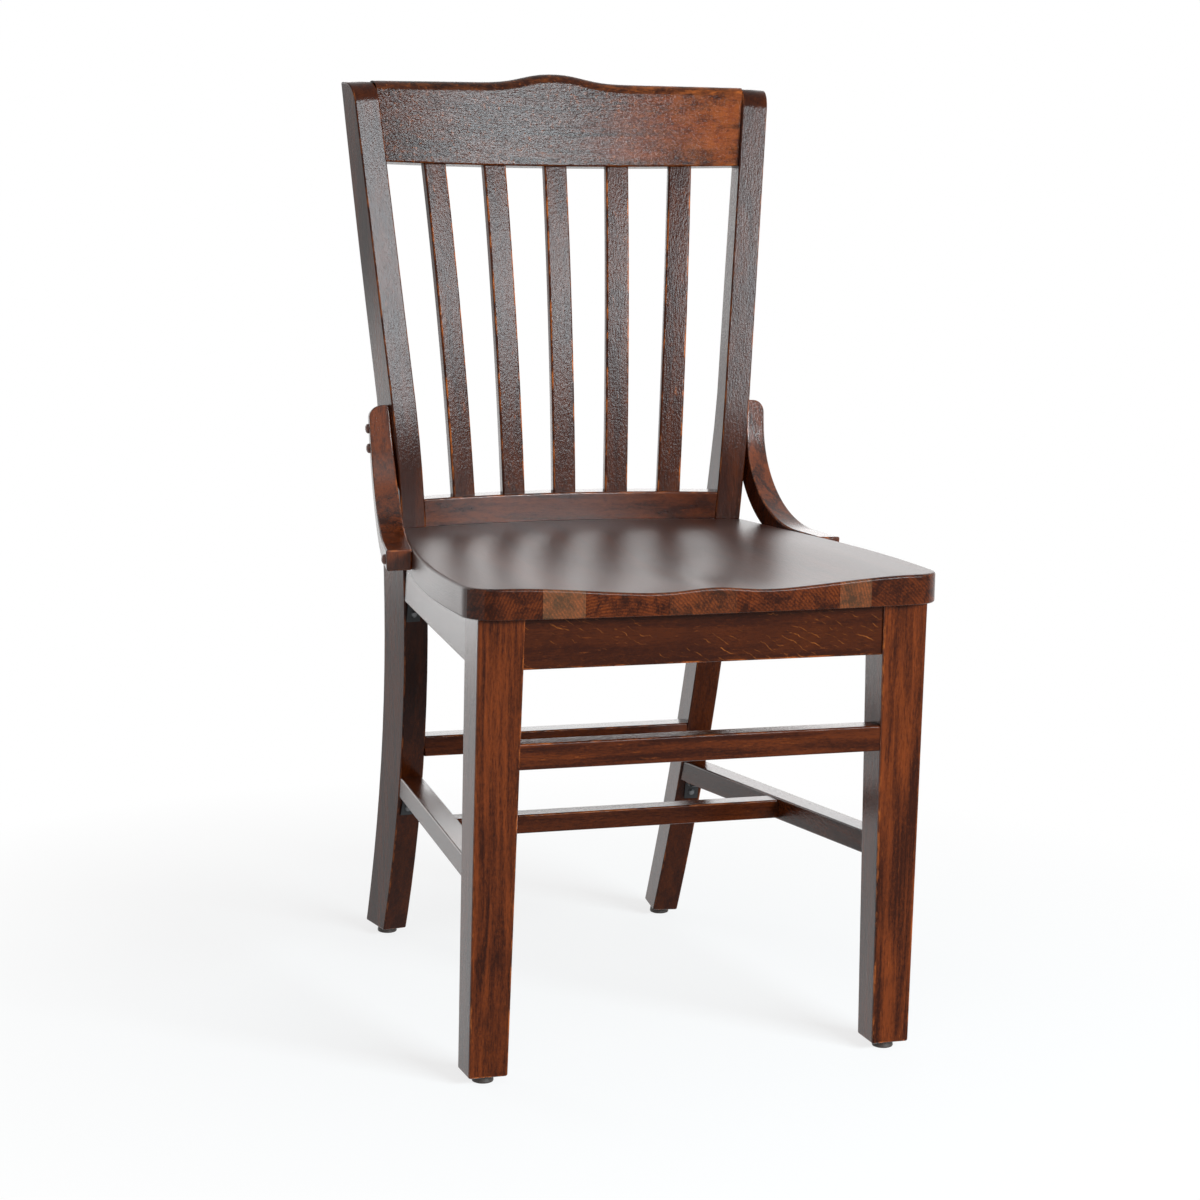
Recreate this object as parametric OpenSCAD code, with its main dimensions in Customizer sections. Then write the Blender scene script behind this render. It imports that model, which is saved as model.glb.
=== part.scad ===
/* [Seat] */
// Greatest width across the seat's side edges
seat_w = 454; // [440:1:480]
// Height of the seat's top at its front edge
seat_top = 457; // [440:1:475]
// Thickness of the seat board
seat_th = 28; // [24:1:34]
// Fall of the seat towards the back, in degrees
seat_fall = 1.45; // [0:0.05:3]
// Distance from the seat's front edge to the back posts' front corner
seat_run = 396; // [380:1:410]
// How much narrower each side is where the seat meets the posts
seat_taper = 46.5; // [42:0.5:50]
// Distance behind the front edge at which the sides begin to curve in
seat_curve_y = 62; // [50:1:90]
// How far the seat's front corners lie behind its middle
seat_bow = 7; // [3:0.5:10]
// Radius of the seat's front corners, seen from above
seat_corner_r = 28; // [15:1:40]
// Depth of the saddle at the front edge
saddle_front = 9.3; // [5:0.1:11]
// Depth of the saddle at its lowest
saddle_deep = 12.3; // [8:0.1:14]
// Height of the ridge between the two leg scoops
pommel_h = 5.3; // [2:0.1:7]

/* [Front legs] */
// Inset of the front legs' outer faces from the seat's sides
leg_inset = 11; // [6:0.5:14]
// Set back of the front legs from the seat's front edge
leg_set = 18; // [12:1:24]
// Width of a front leg at the top
leg_w_top = 44; // [40:0.5:48]
// Width of a front leg at the foot
leg_w_foot = 37; // [34:0.5:40]
// Depth of a front leg at the top
leg_d_top = 41; // [38:0.5:45]
// Depth of a front leg at the foot
leg_d_foot = 35; // [32:0.5:38]

/* [Back posts] */
// Thickness of the post's board, across the chair
post_th = 26; // [24:0.5:30]
// Inset of each post's outer front corner from the seat's side, where the seat meets the posts
post_inset = 2; // [0:0.5:5]
// Turn of each post about its own length, in degrees
post_turn = 8.5; // [6:0.25:10]
// Outward lean of each post, in degrees
post_lean = 4.04; // [3:0.1:5]
// How far the foot lies behind the post's waist
post_kick = 102; // [90:1:110]
// Backward slope of the upright above the seat, run over rise
post_rake = 0.172; // [0.14:0.002:0.2]
// Depth of the post at the seat
post_d_seat = 50; // [46:0.5:54]
// Depth of the post at the foot
post_d_foot = 45; // [42:0.5:48]
// Depth of the post below the crest rail
post_d_back = 37; // [34:0.5:40]
// Depth of the post at its top
post_d_top = 30; // [28:0.5:34]
// How far the posts' tops lie below the crest's highest point
post_drop = 12; // [5:1:24]
// Radius of the post's top front corner
post_top_r = 22; // [12:1:25]

/* [Back] */
// Height of the crest rail, from its ends' bottom edge to the crest's highest point
crest_h = 88; // [83:1:94]
// Overall height of the chair, at the middle of the crest rail
crest_top = 889; // [884:1:895]
// Rise of the crest's middle above its shoulders
crest_hump = 9; // [5:0.5:11]
// Thickness of the crest rail
crest_th = 22; // [20:0.5:25]
// Set back of the crest rail from the posts' front faces
crest_set = 5; // [3:0.5:7]
// Plan radius of the crest rail's front face
crest_r = 730; // [650:10:850]
// Height of the lower back rail
rail_h = 27.5; // [24:0.5:32]
// Thickness of the lower back rail
rail_th = 22; // [20:0.5:25]
// Plan radius of the lower back rail's front face
rail_r = 610; // [560:10:800]
// Width of a slat
slat_w = 24; // [20:0.5:27]
// Thickness of a slat
slat_th = 9.5; // [8:0.5:12]
// Forward bow of a slat at its middle
slat_bow = 5; // [3:0.5:7]
// Spacing of the slats at the lower back rail
slat_low = 54; // [50:0.2:57]
// Spacing of the slats at the crest rail
slat_high = 64.6; // [60:0.2:67]
// Depth of the slats' ends in the rails
slat_in = 11; // [8:0.5:14]

/* [Aprons and stretchers] */
// Height of the front apron
apron_h = 48; // [44:1:56]
// Thickness of the aprons
apron_th = 20; // [18:0.5:22]
// Set back of the aprons from the legs' outer faces
apron_set = 3; // [1:0.5:5]
// Top of the front stretcher
front_str_z = 314; // [295:1:330]
// Height of the front stretcher
front_str_h = 24; // [20:0.5:28]
// Thickness of the front stretcher
front_str_th = 20; // [18:0.5:24]
// Top of the side stretchers at the front legs
side_str_z = 201; // [185:1:215]
// Drop of the side stretchers from front to back, in degrees
side_str_fall = 2.3; // [0:0.1:3]
// Height of the side stretchers
side_str_h = 22; // [19:0.5:26]
// Width of the side stretchers
side_str_w = 22.5; // [20:0.5:23]
// Top of the back stretcher
back_str_z = 228; // [222:1:245]
// Height of the back stretcher
back_str_h = 21; // [18:0.5:25]
// Thickness of the back stretcher
back_str_th = 22; // [18:0.5:25]
// Distance of the cross stretcher behind the seat's front edge
cross_y = 237; // [200:1:280]
// Height of the cross stretcher
cross_h = 18.5; // [16:0.5:19]
// Thickness of the cross stretcher
cross_th = 20; // [18:0.5:24]

/* [Hip brackets] */
// Radius of the bracket's front face
bracket_r = 110; // [100:1:114]
// Thickness of the bracket
bracket_th = 20; // [17:0.5:22]
// Width of the bracket before it is fitted to the post and the seat
bracket_w = 25.5; // [22:0.5:27]
// Length of the bracket's straight foot
bracket_foot = 44; // [38:1:50]
// Length of the bracket's straight top
bracket_head = 25; // [22:1:34]
// How far the bracket's foot starts ahead of the back post
bracket_lead = 134; // [128:1:140]
// Outward lean of the bracket's outer face, in degrees
bracket_lean = 3.2; // [2:0.1:4]
// Outward lean of the bracket's inner face above the seat, in degrees
bracket_inner_lean = 5; // [3:0.5:6]
// Radius of the bracket's outer top corner
bracket_top_r = 12; // [6:0.5:14]

/* [Fasteners and glides] */
// Diameter of the dowels
dowel_d = 8; // [6:0.5:9]
// Length of the dowels
dowel_l = 30; // [26:1:32]
// Shank diameter of the bracket screws
screw_d = 4.5; // [3.5:0.25:5]
// Head diameter of the bracket screws
screw_head_d = 9.5; // [8:0.5:11]
// Height of the bracket screws' heads
screw_head_h = 3.8; // [2.5:0.1:4.2]
// Length of the bracket screws
screw_l = 44; // [38:1:46]
// Shank diameter of the seat screws and block screws
small_screw_d = 4; // [3:0.25:4.5]
// Width of the metal corner brackets
angle_w = 14; // [12:0.5:15]
// Length of each leaf of the metal corner brackets
angle_l = 20; // [18:0.5:24]
// Thickness of the metal corner brackets
angle_th = 2; // [1.5:0.1:2.5]
// Length of the metal brackets' screws into the rails
angle_rail_screw_l = 8; // [6:0.5:8]
// Length of the metal brackets' screws into the posts
angle_post_screw_l = 16; // [10:1:25]
// Diameter of the glides
glide_d = 20; // [18:0.5:24]
// Height of the glides
glide_h = 8; // [6:0.5:10]
// Clearance round each dowel, screw and slat end
fit_gap = 0.1; // [0.05:0.05:0.2]

/* [Hidden] */

walnut = "#3f231a";
walnut_light = "#5a3020";
black_steel = "#26262a";
screw_brown = "#5b2b1b";
glide_brown = "#2c1a14";
birch = "#c9a26b";
$fn = 48;

// a hair's overlap of cutters, so that no cut ends flush with a face
eps = 0.01;
// how far a cutter or a blank runs past the face that it opens, where it has to clear it plainly
past = 1;
// a length past every side of the chair, for cutters that take everything on one side of a plane
reach = crest_top;
// how far a blank runs past the joint or face where it is cut to fit
spare = 20;
seat_slope = tan(seat_fall);
function seat_top_at(y) = seat_top - seat_slope * y;
function seat_under_at(y) = seat_top_at(y) - seat_th / cos(seat_fall);

// Front legs: outer and front faces are plumb, the taper is on the inner and back faces
leg_out = seat_w / 2 - leg_inset;
function leg_share(z) = (z - glide_h) / (seat_under_at(leg_set) - glide_h);
function leg_in(z) = leg_out - leg_w_foot - (leg_w_top - leg_w_foot) * leg_share(z);
function leg_back(z) = leg_set + leg_d_foot + (leg_d_top - leg_d_foot) * leg_share(z);

// Back posts: one flat board sawn to a curve, leaned outwards and turned
post_out = seat_w / 2 - seat_taper - post_inset;
post_top = crest_top - post_drop;
crest_z = crest_top - crest_h;
// height that the post's own lengths are measured from, and its most forward point above that
ref_lift = 4;
post_ref = seat_top_at(seat_run) + ref_lift;
waist = 13;
foot_down = (post_ref - glide_h) / cos(post_lean);
top_up = (post_top - post_ref) / cos(post_lean);
// lengths over which the post bends back and narrows above the seat
bend_run = 110;
narrow_run = 130;
function smooth(t) = t <= 0 ? 0 : t >= 1 ? 1 : t * t * (3 - 2 * t);
function post_front(h) =
    h < waist ? post_kick * pow((waist - h) / (foot_down + waist), 2)
    : h < waist + bend_run ? post_rake * pow(h - waist, 2) / (2 * bend_run)
    : post_rake * (h - waist - bend_run / 2);
function post_depth(h) =
    h < 0 ? post_d_seat - (post_d_seat - post_d_foot) * pow(-h / foot_down, 4)
    : h < narrow_run ? post_d_seat - (post_d_seat - post_d_back) * smooth(h / narrow_run)
    : post_d_back - (post_d_back - post_d_top) * pow((h - narrow_run) / (top_up - narrow_run), 2);
function post_out_at(z) = post_out + sin(post_turn) * post_front((z - post_ref) / cos(post_lean))
    + tan(post_lean) * (z - post_ref);
function post_y_at(z) = seat_run + cos(post_turn) * post_front((z - post_ref) / cos(post_lean));

// The chair's frontmost and backmost points: the seat's lower front edge and the back of the feet
chair_front = -seat_th * sin(seat_fall);
foot_reach = post_kick + post_d_foot;
foot_inner_x = post_th * cos(post_turn) - sin(post_turn) * foot_reach;
foot_slope = 2 * post_kick / (foot_down + waist);
chair_back = seat_run + post_th * sin(post_turn) + cos(post_turn) * foot_reach
    + foot_inner_x * tan(post_lean) * foot_slope;

// Side aprons and side stretchers run from the front legs to the posts
side_z0 = seat_under_at(leg_set) - apron_h;
apron_y0 = leg_back(side_z0 + apron_h / 2);
apron_x0 = leg_out - apron_set;
apron_y1 = post_y_at(seat_under_at(seat_run) - apron_h / 2);
apron_x1 = post_out_at(seat_under_at(seat_run) - apron_h / 2) - apron_set / 2;
apron_turn = atan2(apron_x0 - apron_x1, apron_y1 - apron_y0);
function apron_inner(y) = apron_x0 - (y - apron_y0) * tan(apron_turn) - apron_th / cos(apron_turn);
str_y0 = leg_back(side_str_z);
str_x0 = leg_out - 2 * apron_set;
// how far in from the posts' outer faces the side stretchers meet them
str_end_set = 0.5;
str_end_z = side_str_z - (seat_run - leg_set) * tan(side_str_fall) - side_str_h / 2;
str_y1 = post_y_at(str_end_z);
str_x1 = post_out_at(str_end_z) - str_end_set;
str_turn = atan2(str_x0 - str_x1, str_y1 - str_y0);
function str_inner(y) = str_x0 - (y - str_y0) * tan(str_turn) - side_str_w / cos(str_turn);
function str_top_at(y) = side_str_z - (y - str_y0) * tan(side_str_fall);

// Whole chair: its middle in depth is the origin, and the floor is z = 0
module chair() { translate([0, -(chair_front + chair_back) / 2, 0]) children(); }
// s is 1 for the right-hand side, and -1 for its mirror image
module side(s) { mirror([s < 0 ? 1 : 0, 0, 0]) children(); }

// Seat: its sides curve in, then run straight from the brackets' feet to the posts
seat_half = seat_w / 2;
bracket_y = seat_run - bracket_lead;
// the sides are straight again from a little ahead of the brackets' feet
side_straight_lead = 8;
side_straight_y = bracket_y - side_straight_lead;
side_run = side_straight_y - seat_curve_y;
side_curve = seat_taper / (side_run * side_run + 2 * side_run * (seat_run - side_straight_y));
side_turn = atan(2 * side_curve * side_run);
function seat_edge(y) = y < seat_curve_y ? seat_half
    : y < side_straight_y ? seat_half - side_curve * pow(y - seat_curve_y, 2)
    : seat_half - side_curve * side_run * side_run - tan(side_turn) * (y - side_straight_y);
function seat_front_edge(x) = seat_bow * pow(x / (seat_half - seat_corner_r), 2);
corner_x = seat_half - seat_corner_r;
corner_y = seat_front_edge(corner_x) + seat_corner_r;
// the tongue between the posts: its gap at their inner faces, and its start behind their front corners
tongue_gap = 1.5;
tongue_start = 2.6;
tongue_half = post_out - post_th - tongue_gap;
// steps of the outline along the front edge, round each corner and along each curved side
front_steps = 6;
round_steps = 8;
side_steps = 14;
function half_outline() = concat(
    [for (i = [0 : front_steps]) let (x = corner_x * i / front_steps) [x, seat_front_edge(x)]],
    [for (i = [1 : round_steps - 1]) let (a = -90 + 90 * i / round_steps)
        [corner_x + seat_corner_r * cos(a), corner_y + seat_corner_r * sin(a)]],
    [for (i = [0 : side_steps]) let (y = corner_y + (side_straight_y - corner_y) * i / side_steps)
        [seat_edge(y), y]],
    [[seat_edge(seat_run - past), seat_run - past], [tongue_half, seat_run + tongue_start],
        [tongue_half, tongue_y]]);
function mirrored(p) = concat(p, [for (i = [len(p) - 1 : -1 : 0]) if (p[i][0] > eps) [-p[i][0], p[i][1]]]);

// Depth of the saddle below the seat's top plane
// its half width as a share of the seat's, the place of its lowest point, and the run of its rise behind that
saddle_share = 0.85;
saddle_low_y = 200;
saddle_rise = 185;
// half width and length of the ridge
pommel_half = 38;
pommel_run = 110;
function basin(x, y) =
    let (t = abs(x) / (saddle_share * seat_edge(y)))
    (t < 1 ? pow(1 - t * t, 2) : 0)
    * (y < saddle_low_y ? saddle_front + (saddle_deep - saddle_front) * sin(90 * max(0, y) / saddle_low_y)
        : saddle_deep * pow(cos(90 * min(1, (y - saddle_low_y) / saddle_rise)), 2));
function pommel(x, y) = pommel_h * exp(-pow(x / pommel_half, 2)) * exp(-pow(max(0, y) / pommel_run, 2));
function saddle(x, y) = max(0, basin(x, y) - pommel(x, y));

module saddle_cutter() {
    nx = 22;
    ny = 20;
    // it starts just ahead of the front edge, and ends just ahead of the posts
    edge_gap = 4;
    y0 = -edge_gap;
    y1 = seat_run - edge_gap;
    lift = spare;
    // the cutter stays this far above the board where there is no saddle
    clear = 0.04;
    // half its width, a little more than the saddle's, as a share of the seat's
    cutter_share = saddle_share + 0.01;
    px = function (i) (i / nx - 0.5) * 2 * cutter_share * seat_half;
    py = function (j) y0 + (y1 - y0) * j / ny;
    low = [for (j = [0 : ny]) for (i = [0 : nx]) [px(i), py(j), clear - saddle(px(i), py(j))]];
    high = [for (j = [0 : ny]) for (i = [0 : nx]) [px(i), py(j), lift]];
    n = len(low);
    at = function (i, j) j * (nx + 1) + i;
    under = [for (j = [0 : ny - 1]) for (i = [0 : nx - 1]) each
        [[at(i, j), at(i + 1, j), at(i + 1, j + 1)], [at(i, j), at(i + 1, j + 1), at(i, j + 1)]]];
    over = [for (f = under) [f[0] + n, f[2] + n, f[1] + n]];
    rim = concat([for (i = [0 : nx]) at(i, 0)], [for (j = [1 : ny]) at(nx, j)],
        [for (i = [nx - 1 : -1 : 0]) at(i, ny)], [for (j = [ny - 1 : -1 : 1]) at(0, j)]);
    m = len(rim);
    wall = [for (k = [0 : m - 1]) each let (a = rim[k], b = rim[(k + 1) % m])
        [[b, a, a + n], [b, a + n, b + n]]];
    polyhedron(concat(low, high), concat(under, over, wall));
}

module seat_place() { translate([0, 0, seat_top]) rotate([-seat_fall, 0, 0]) children(); }
module seat_blank() {
    seat_place() translate([0, 0, -seat_th]) linear_extrude(seat_th) polygon(mirrored(half_outline()));
}
// gap between the seat's notches and the posts
notch_gap = 0.2;
module under_seat() {
    seat_place() translate([-reach, -reach, -seat_th]) cube(2 * reach);
}

module seat() {
    color(walnut) chair() difference() {
        seat_blank();
        seat_place() saddle_cutter();
        for (s = [-1, 1]) side(s) {
            post_solid(notch_gap);
            bracket_place() bracket_screw(foot_hole, fit_gap, false);
            for (k = [0, 1]) block_place(k) seat_screw(fit_gap);
        }
    }
}

// Front legs
module leg_solid() {
    top = seat_top + past;
    span = top - glide_h;
    w_end = leg_out - leg_in(top);
    d_end = leg_back(top) - leg_set;
    intersection() {
        translate([0, reach, glide_h]) rotate([90, 0, 0]) linear_extrude(reach)
            polygon([[leg_out, 0], [leg_out, span], [leg_out - w_end, span], [leg_out - leg_w_foot, 0]]);
        translate([0, 0, glide_h]) rotate([90, 0, 90]) linear_extrude(reach)
            polygon([[leg_set, 0], [leg_set + leg_d_foot, 0], [leg_set + d_end, span], [leg_set, span]]);
    }
}

module front_leg() {
    difference() {
        leg_solid();
        under_seat();
        apron_dowel_set(fit_gap);
        front_apron_dowels(fit_gap);
        stretcher_dowel_set(fit_gap);
        front_stretcher_dowel(fit_gap);
        block_place(0) block_screw(fit_gap);
        translate(front_foot) glide_nail(fit_gap);
    }
}
module left_front_leg() { color(walnut) chair() side(-1) front_leg(); }
module right_front_leg() { color(walnut) chair() front_leg(); }

// Back posts
module post_place() {
    translate([post_out, seat_run, post_ref]) rotate([0, post_lean, 0]) rotate([0, 0, -post_turn]) children();
}
module post_profile() {
    steps = 26;
    low = -foot_down - spare;
    r_y = post_front(top_up - post_top_r) + post_top_r / cos(atan(post_rake));
    difference() {
        polygon(concat(
            [for (i = [0 : steps]) let (h = low + (top_up - low) * i / steps) [post_front(h), h]],
            [for (i = [steps : -1 : 0]) let (h = low + (top_up - low) * i / steps)
                [post_front(h) + post_depth(h), h]]));
        difference() {
            translate([r_y - reach, top_up - post_top_r + post_top_r * sin(atan(post_rake))]) square(reach);
            translate([r_y, top_up - post_top_r]) circle(post_top_r, $fn = 64);
        }
    }
}
// the board is extruded along its thickness, from the inner face out to the outer face
module post_solid(grow = 0) {
    difference() {
        post_place() translate([-post_th - grow, -grow, 0]) rotate([90, 0, 90])
            linear_extrude(post_th + 2 * grow) post_profile();
        translate([0, 0, glide_h - reach]) cube(reach);
        translate([0, 0, post_top]) cube(reach);
    }
}
// the post's board, wider on both sides, to cut the ends of rails that meet its front
module post_slab() {
    post_place() translate([-post_th - 2 * spare, 0, 0]) rotate([90, 0, 90])
        linear_extrude(post_th + 4 * spare) post_profile();
}
// everything on the outer side of the post's inner face
module beyond_post_inner() {
    post_place() translate([-post_th, -reach, -reach]) cube(2 * reach);
}
// everything on the inner side of the post's outer face
module behind_post_outer() {
    post_place() translate([-2 * reach, -reach, -reach]) cube(2 * reach);
}

module back_post() {
    difference() {
        post_solid();
        apron_dowel_set(fit_gap);
        back_apron_dowels(fit_gap);
        stretcher_dowel_set(fit_gap);
        back_stretcher_dowel(fit_gap);
        back_rail_dowel_set(fit_gap);
        for (p = head_holes) bracket_place() bracket_screw(p, fit_gap, false);
        block_place(1) block_screw(fit_gap);
        for (k = [0, 1]) angle_place(k) angle_screw(k, 1, fit_gap);
        translate(back_foot) glide_nail(fit_gap);
    }
}
module left_back_post() { color(walnut) chair() side(-1) back_post(); }
module right_back_post() { color(walnut) chair() back_post(); }

// Crest rail: a bent board, leaned back with the posts
rake = atan(post_rake);
crest_end = post_out_at(crest_z) - post_th;
crest_end_y = post_y_at(crest_z) + post_th * sin(post_turn) + crest_set;
crest_sag = crest_r - sqrt(crest_r * crest_r - crest_end * crest_end);
crest_face_h = (crest_top - crest_z) / cos(rake) + crest_sag * tan(rake);
// rise of the crest's top edge from its ends to its middle without the hump, and the hump's half width
crest_crown = 4;
hump_half = 40;
// how flat the hump's top is: 2 would be a bell curve
hump_power = 2.4;
crest_ends_h = crest_face_h - crest_hump - crest_crown;
module crest_place() {
    translate([0, crest_end_y, crest_z]) rotate([-rake, 0, 0]) translate([0, crest_sag, 0]) children();
}
// height of the crest rail's top above its bottom edge
function crest_line(x) = crest_ends_h + crest_crown * (1 - pow(x / crest_end, 2))
    + crest_hump * exp(-pow(abs(x) / hump_half, hump_power));
module crest_front_view() {
    n = 44;
    half = crest_end + spare;
    polygon(concat([[-half, 0], [half, 0]],
        [for (i = [n : -1 : 0]) let (x = -half + 2 * half * i / n) [x, crest_line(x)]]));
}
module crest_blank() {
    crest_place() intersection() {
        translate([0, reach / 2, 0]) rotate([90, 0, 0]) linear_extrude(reach) crest_front_view();
        translate([0, -crest_r, -spare]) difference() {
            cylinder(r = crest_r + crest_th, h = 2 * crest_ends_h, $fn = 360);
            translate([0, 0, -spare]) cylinder(r = crest_r, h = 3 * crest_ends_h, $fn = 360);
        }
    }
}
module crest_rail() {
    color(walnut) chair() difference() {
        crest_blank();
        for (s = [-1, 1]) side(s) {
            beyond_post_inner();
            back_rail_dowel_set(fit_gap);
        }
        for (k = [-2 : 2]) slat_solid(k, fit_gap);
    }
}

// Lower back rail: curved as well, standing on the seat between the posts
rail_top = seat_top_at(seat_run) + rail_h;
rail_end = post_out_at(rail_top) - post_th;
rail_set = 0.5;
rail_end_y = post_y_at(rail_top) + post_th * sin(post_turn) + rail_set;
rail_sag = rail_r - sqrt(rail_r * rail_r - rail_end * rail_end);
// the seat's tongue carries the whole rail, and ends just past the rail's back face at its middle
tongue_past = 1;
tongue_y = rail_end_y + rail_sag + rail_th + tongue_past;
// gap under the rail, and how far its blank reaches down and sideways before it is cut to fit
rail_gap = 0.2;
rail_spare = 10;
module rail_blank() {
    half = rail_end + 2 * rail_spare;
    intersection() {
        translate([0, rail_end_y + rail_sag - rail_r, rail_top - rail_h - rail_spare]) difference() {
            cylinder(r = rail_r + rail_th, h = rail_h + rail_spare, $fn = 360);
            translate([0, 0, -eps]) cylinder(r = rail_r, h = rail_h + rail_spare + 2 * eps, $fn = 360);
        }
        translate([-half, rail_end_y - rail_spare, rail_top - reach / 2]) cube([2 * half, reach / 2, reach]);
    }
}
module lower_back_rail() {
    color(walnut) chair() difference() {
        rail_blank();
        seat_place() translate([-reach, 0, rail_gap - reach]) cube([2 * reach, reach, reach]);
        for (s = [-1, 1]) side(s) {
            beyond_post_inner();
            back_rail_dowel_set(fit_gap);
        }
        for (k = [-2 : 2]) slat_solid(k, fit_gap);
    }
}

// Slats: let into both rails, fanned out towards the crest
slat_low_set = 7;
slat_high_set = 5;
function on_arc(x, r) = r - sqrt(r * r - x * x);
function slat_foot(k) = let (x = k * slat_low)
    [x, rail_end_y + rail_sag - on_arc(x, rail_r) + slat_low_set, rail_top];
function slat_head(k) = let (x = k * slat_high)
    [x, crest_end_y + (crest_sag - on_arc(x, crest_r)) * cos(rake) + slat_high_set,
        crest_z - (crest_sag - on_arc(x, crest_r)) * sin(rake)];
function slat_yaw(k) = asin(k * (slat_low + slat_high) / 2 / crest_r);
module slat_solid(k, grow = 0) {
    a = slat_foot(k);
    b = slat_head(k);
    yaw = slat_yaw(k);
    d = b - a;
    len_d = norm(d);
    // the slat's own direction, seen in the frame that is turned with it
    dx = d[0] * cos(yaw) - d[1] * sin(yaw);
    dy = d[0] * sin(yaw) + d[1] * cos(yaw);
    full = len_d + 2 * slat_in;
    bow_r = len_d * len_d / (8 * slat_bow);
    translate(a) rotate([-asin(dy / len_d), atan2(dx, d[2]), -yaw]) intersection() {
        translate([-slat_w / 2 - grow, -spare, -slat_in - grow])
            cube([slat_w + 2 * grow, 3 * spare, full + 2 * grow]);
        translate([0, bow_r - slat_bow, len_d / 2]) rotate([0, 90, 0]) difference() {
            cylinder(r = bow_r + grow, h = slat_w + 2 * past, center = true, $fn = 720);
            cylinder(r = bow_r - slat_th - grow, h = slat_w + 4 * past, center = true, $fn = 720);
        }
    }
}
module slat(k) { color(walnut) chair() slat_solid(k); }
module slat_1() { slat(-2); }
module slat_2() { slat(-1); }
module slat_3() { slat(0); }
module slat_4() { slat(1); }
module slat_5() { slat(2); }

// Aprons
front_apron_y = leg_set + apron_set;
module front_apron() {
    color(walnut) chair() difference() {
        translate([-leg_out + leg_w_foot / 2, front_apron_y, side_z0])
            cube([2 * leg_out - leg_w_foot, apron_th, apron_h + spare]);
        under_seat();
        for (s = [-1, 1]) side(s) {
            leg_solid();
            front_apron_dowels(fit_gap);
        }
    }
}
// set back of the back apron from the posts' front corners
back_apron_set = 15;
back_apron_y = seat_run + back_apron_set;
back_apron_z = seat_under_at(back_apron_y) - apron_h;
module back_apron() {
    color(walnut) chair() difference() {
        translate([-post_out, back_apron_y, back_apron_z]) cube([2 * post_out, apron_th, apron_h + spare]);
        under_seat();
        for (s = [-1, 1]) side(s) {
            beyond_post_inner();
            back_apron_dowels(fit_gap);
        }
    }
}
module apron_place() {
    translate([apron_x0, apron_y0, side_z0]) rotate([-seat_fall, 0, 0]) rotate([0, 0, apron_turn]) children();
}
apron_len = norm([apron_x0 - apron_x1, apron_y1 - apron_y0]);
module side_apron() {
    difference() {
        apron_place() translate([-apron_th, -spare, 0])
            cube([apron_th, apron_len + 1.5 * spare, apron_h + spare]);
        under_seat();
        leg_solid();
        post_slab();
        apron_dowel_set(fit_gap);
        angle_place(0) angle_screw(0, 0, fit_gap);
    }
}
module left_apron() { color(walnut) chair() side(-1) side_apron(); }
module right_apron() { color(walnut) chair() side_apron(); }

// Stretchers
front_str_set = 2;
front_str_y = leg_set + front_str_set;
module front_stretcher() {
    color(walnut) chair() difference() {
        translate([-leg_out + leg_w_foot / 2, front_str_y, front_str_z - front_str_h])
            cube([2 * leg_out - leg_w_foot, front_str_th, front_str_h]);
        for (s = [-1, 1]) side(s) {
            leg_solid();
            front_stretcher_dowel(fit_gap);
        }
    }
}
back_str_set = 3;
back_str_y = post_y_at(back_str_z) + post_th * sin(post_turn) + back_str_set;
module back_stretcher() {
    color(walnut) chair() difference() {
        translate([-post_out, back_str_y, back_str_z - back_str_h])
            cube([2 * post_out, back_str_th, back_str_h]);
        for (s = [-1, 1]) side(s) {
            beyond_post_inner();
            back_stretcher_dowel(fit_gap);
        }
    }
}
module str_place() {
    translate([str_x0, str_y0, side_str_z - side_str_h]) rotate([-side_str_fall, 0, 0])
        rotate([0, 0, str_turn]) children();
}
str_len = norm([str_x0 - str_x1, str_y1 - str_y0]);
module side_stretcher() {
    difference() {
        str_place() translate([-side_str_w, -spare, 0])
            cube([side_str_w, str_len + 2 * spare, side_str_h]);
        leg_solid();
        post_slab();
        stretcher_dowel_set(fit_gap);
        cross_dowel(fit_gap);
        angle_place(1) angle_screw(1, 0, fit_gap);
    }
}
module left_stretcher() { color(walnut) chair() side(-1) side_stretcher(); }
module right_stretcher() { color(walnut) chair() side_stretcher(); }
cross_mid_y = cross_y + cross_th / 2;
cross_z = str_top_at(cross_mid_y) - side_str_h / 2 - cross_h / 2;
module cross_stretcher() {
    color(walnut) chair() difference() {
        translate([-str_x0, cross_y, cross_z]) cube([2 * str_x0, cross_th, cross_h]);
        for (s = [-1, 1]) side(s) {
            str_place() translate([-side_str_w, -reach, -reach]) cube(2 * reach);
            cross_dowel(fit_gap);
        }
    }
}

// Hip brackets: bent strips, fitted to the post's outer face and the seat's side edge
// how far the top of the strip's foot lies below the seat's top
bracket_drop = 1.5;
bracket_z = seat_top_at(bracket_y) - bracket_drop;
bracket_out = seat_edge(bracket_y) + bracket_w;
head_lean = 10;
head_reach = [bracket_foot + bracket_r * cos(head_lean), bracket_r - bracket_r * sin(head_lean)];
// the two head screws sit just behind the strip's middle, one below and one at the end of the bend
head_hole_in = bracket_th * 0.4;
head_hole_low = -18;
head_hole_step = [3.3, 19];
head_holes = [for (i = [0, 1]) head_reach + [head_hole_in, head_hole_low] + i * head_hole_step];
// the foot's screw, behind the foot's front end
foot_hole_y = 10;
foot_hole = [foot_hole_y, -bracket_th / 2];
// extra width of the strip's blank, which the fitted inner faces cut away
bracket_spare = 3;
bend_steps = 24;
corner_steps = 8;
module bracket_place() {
    translate([bracket_out, bracket_y, bracket_z]) rotate([0, bracket_lean, 0]) rotate([0, 0, side_turn])
        children();
}
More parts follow.
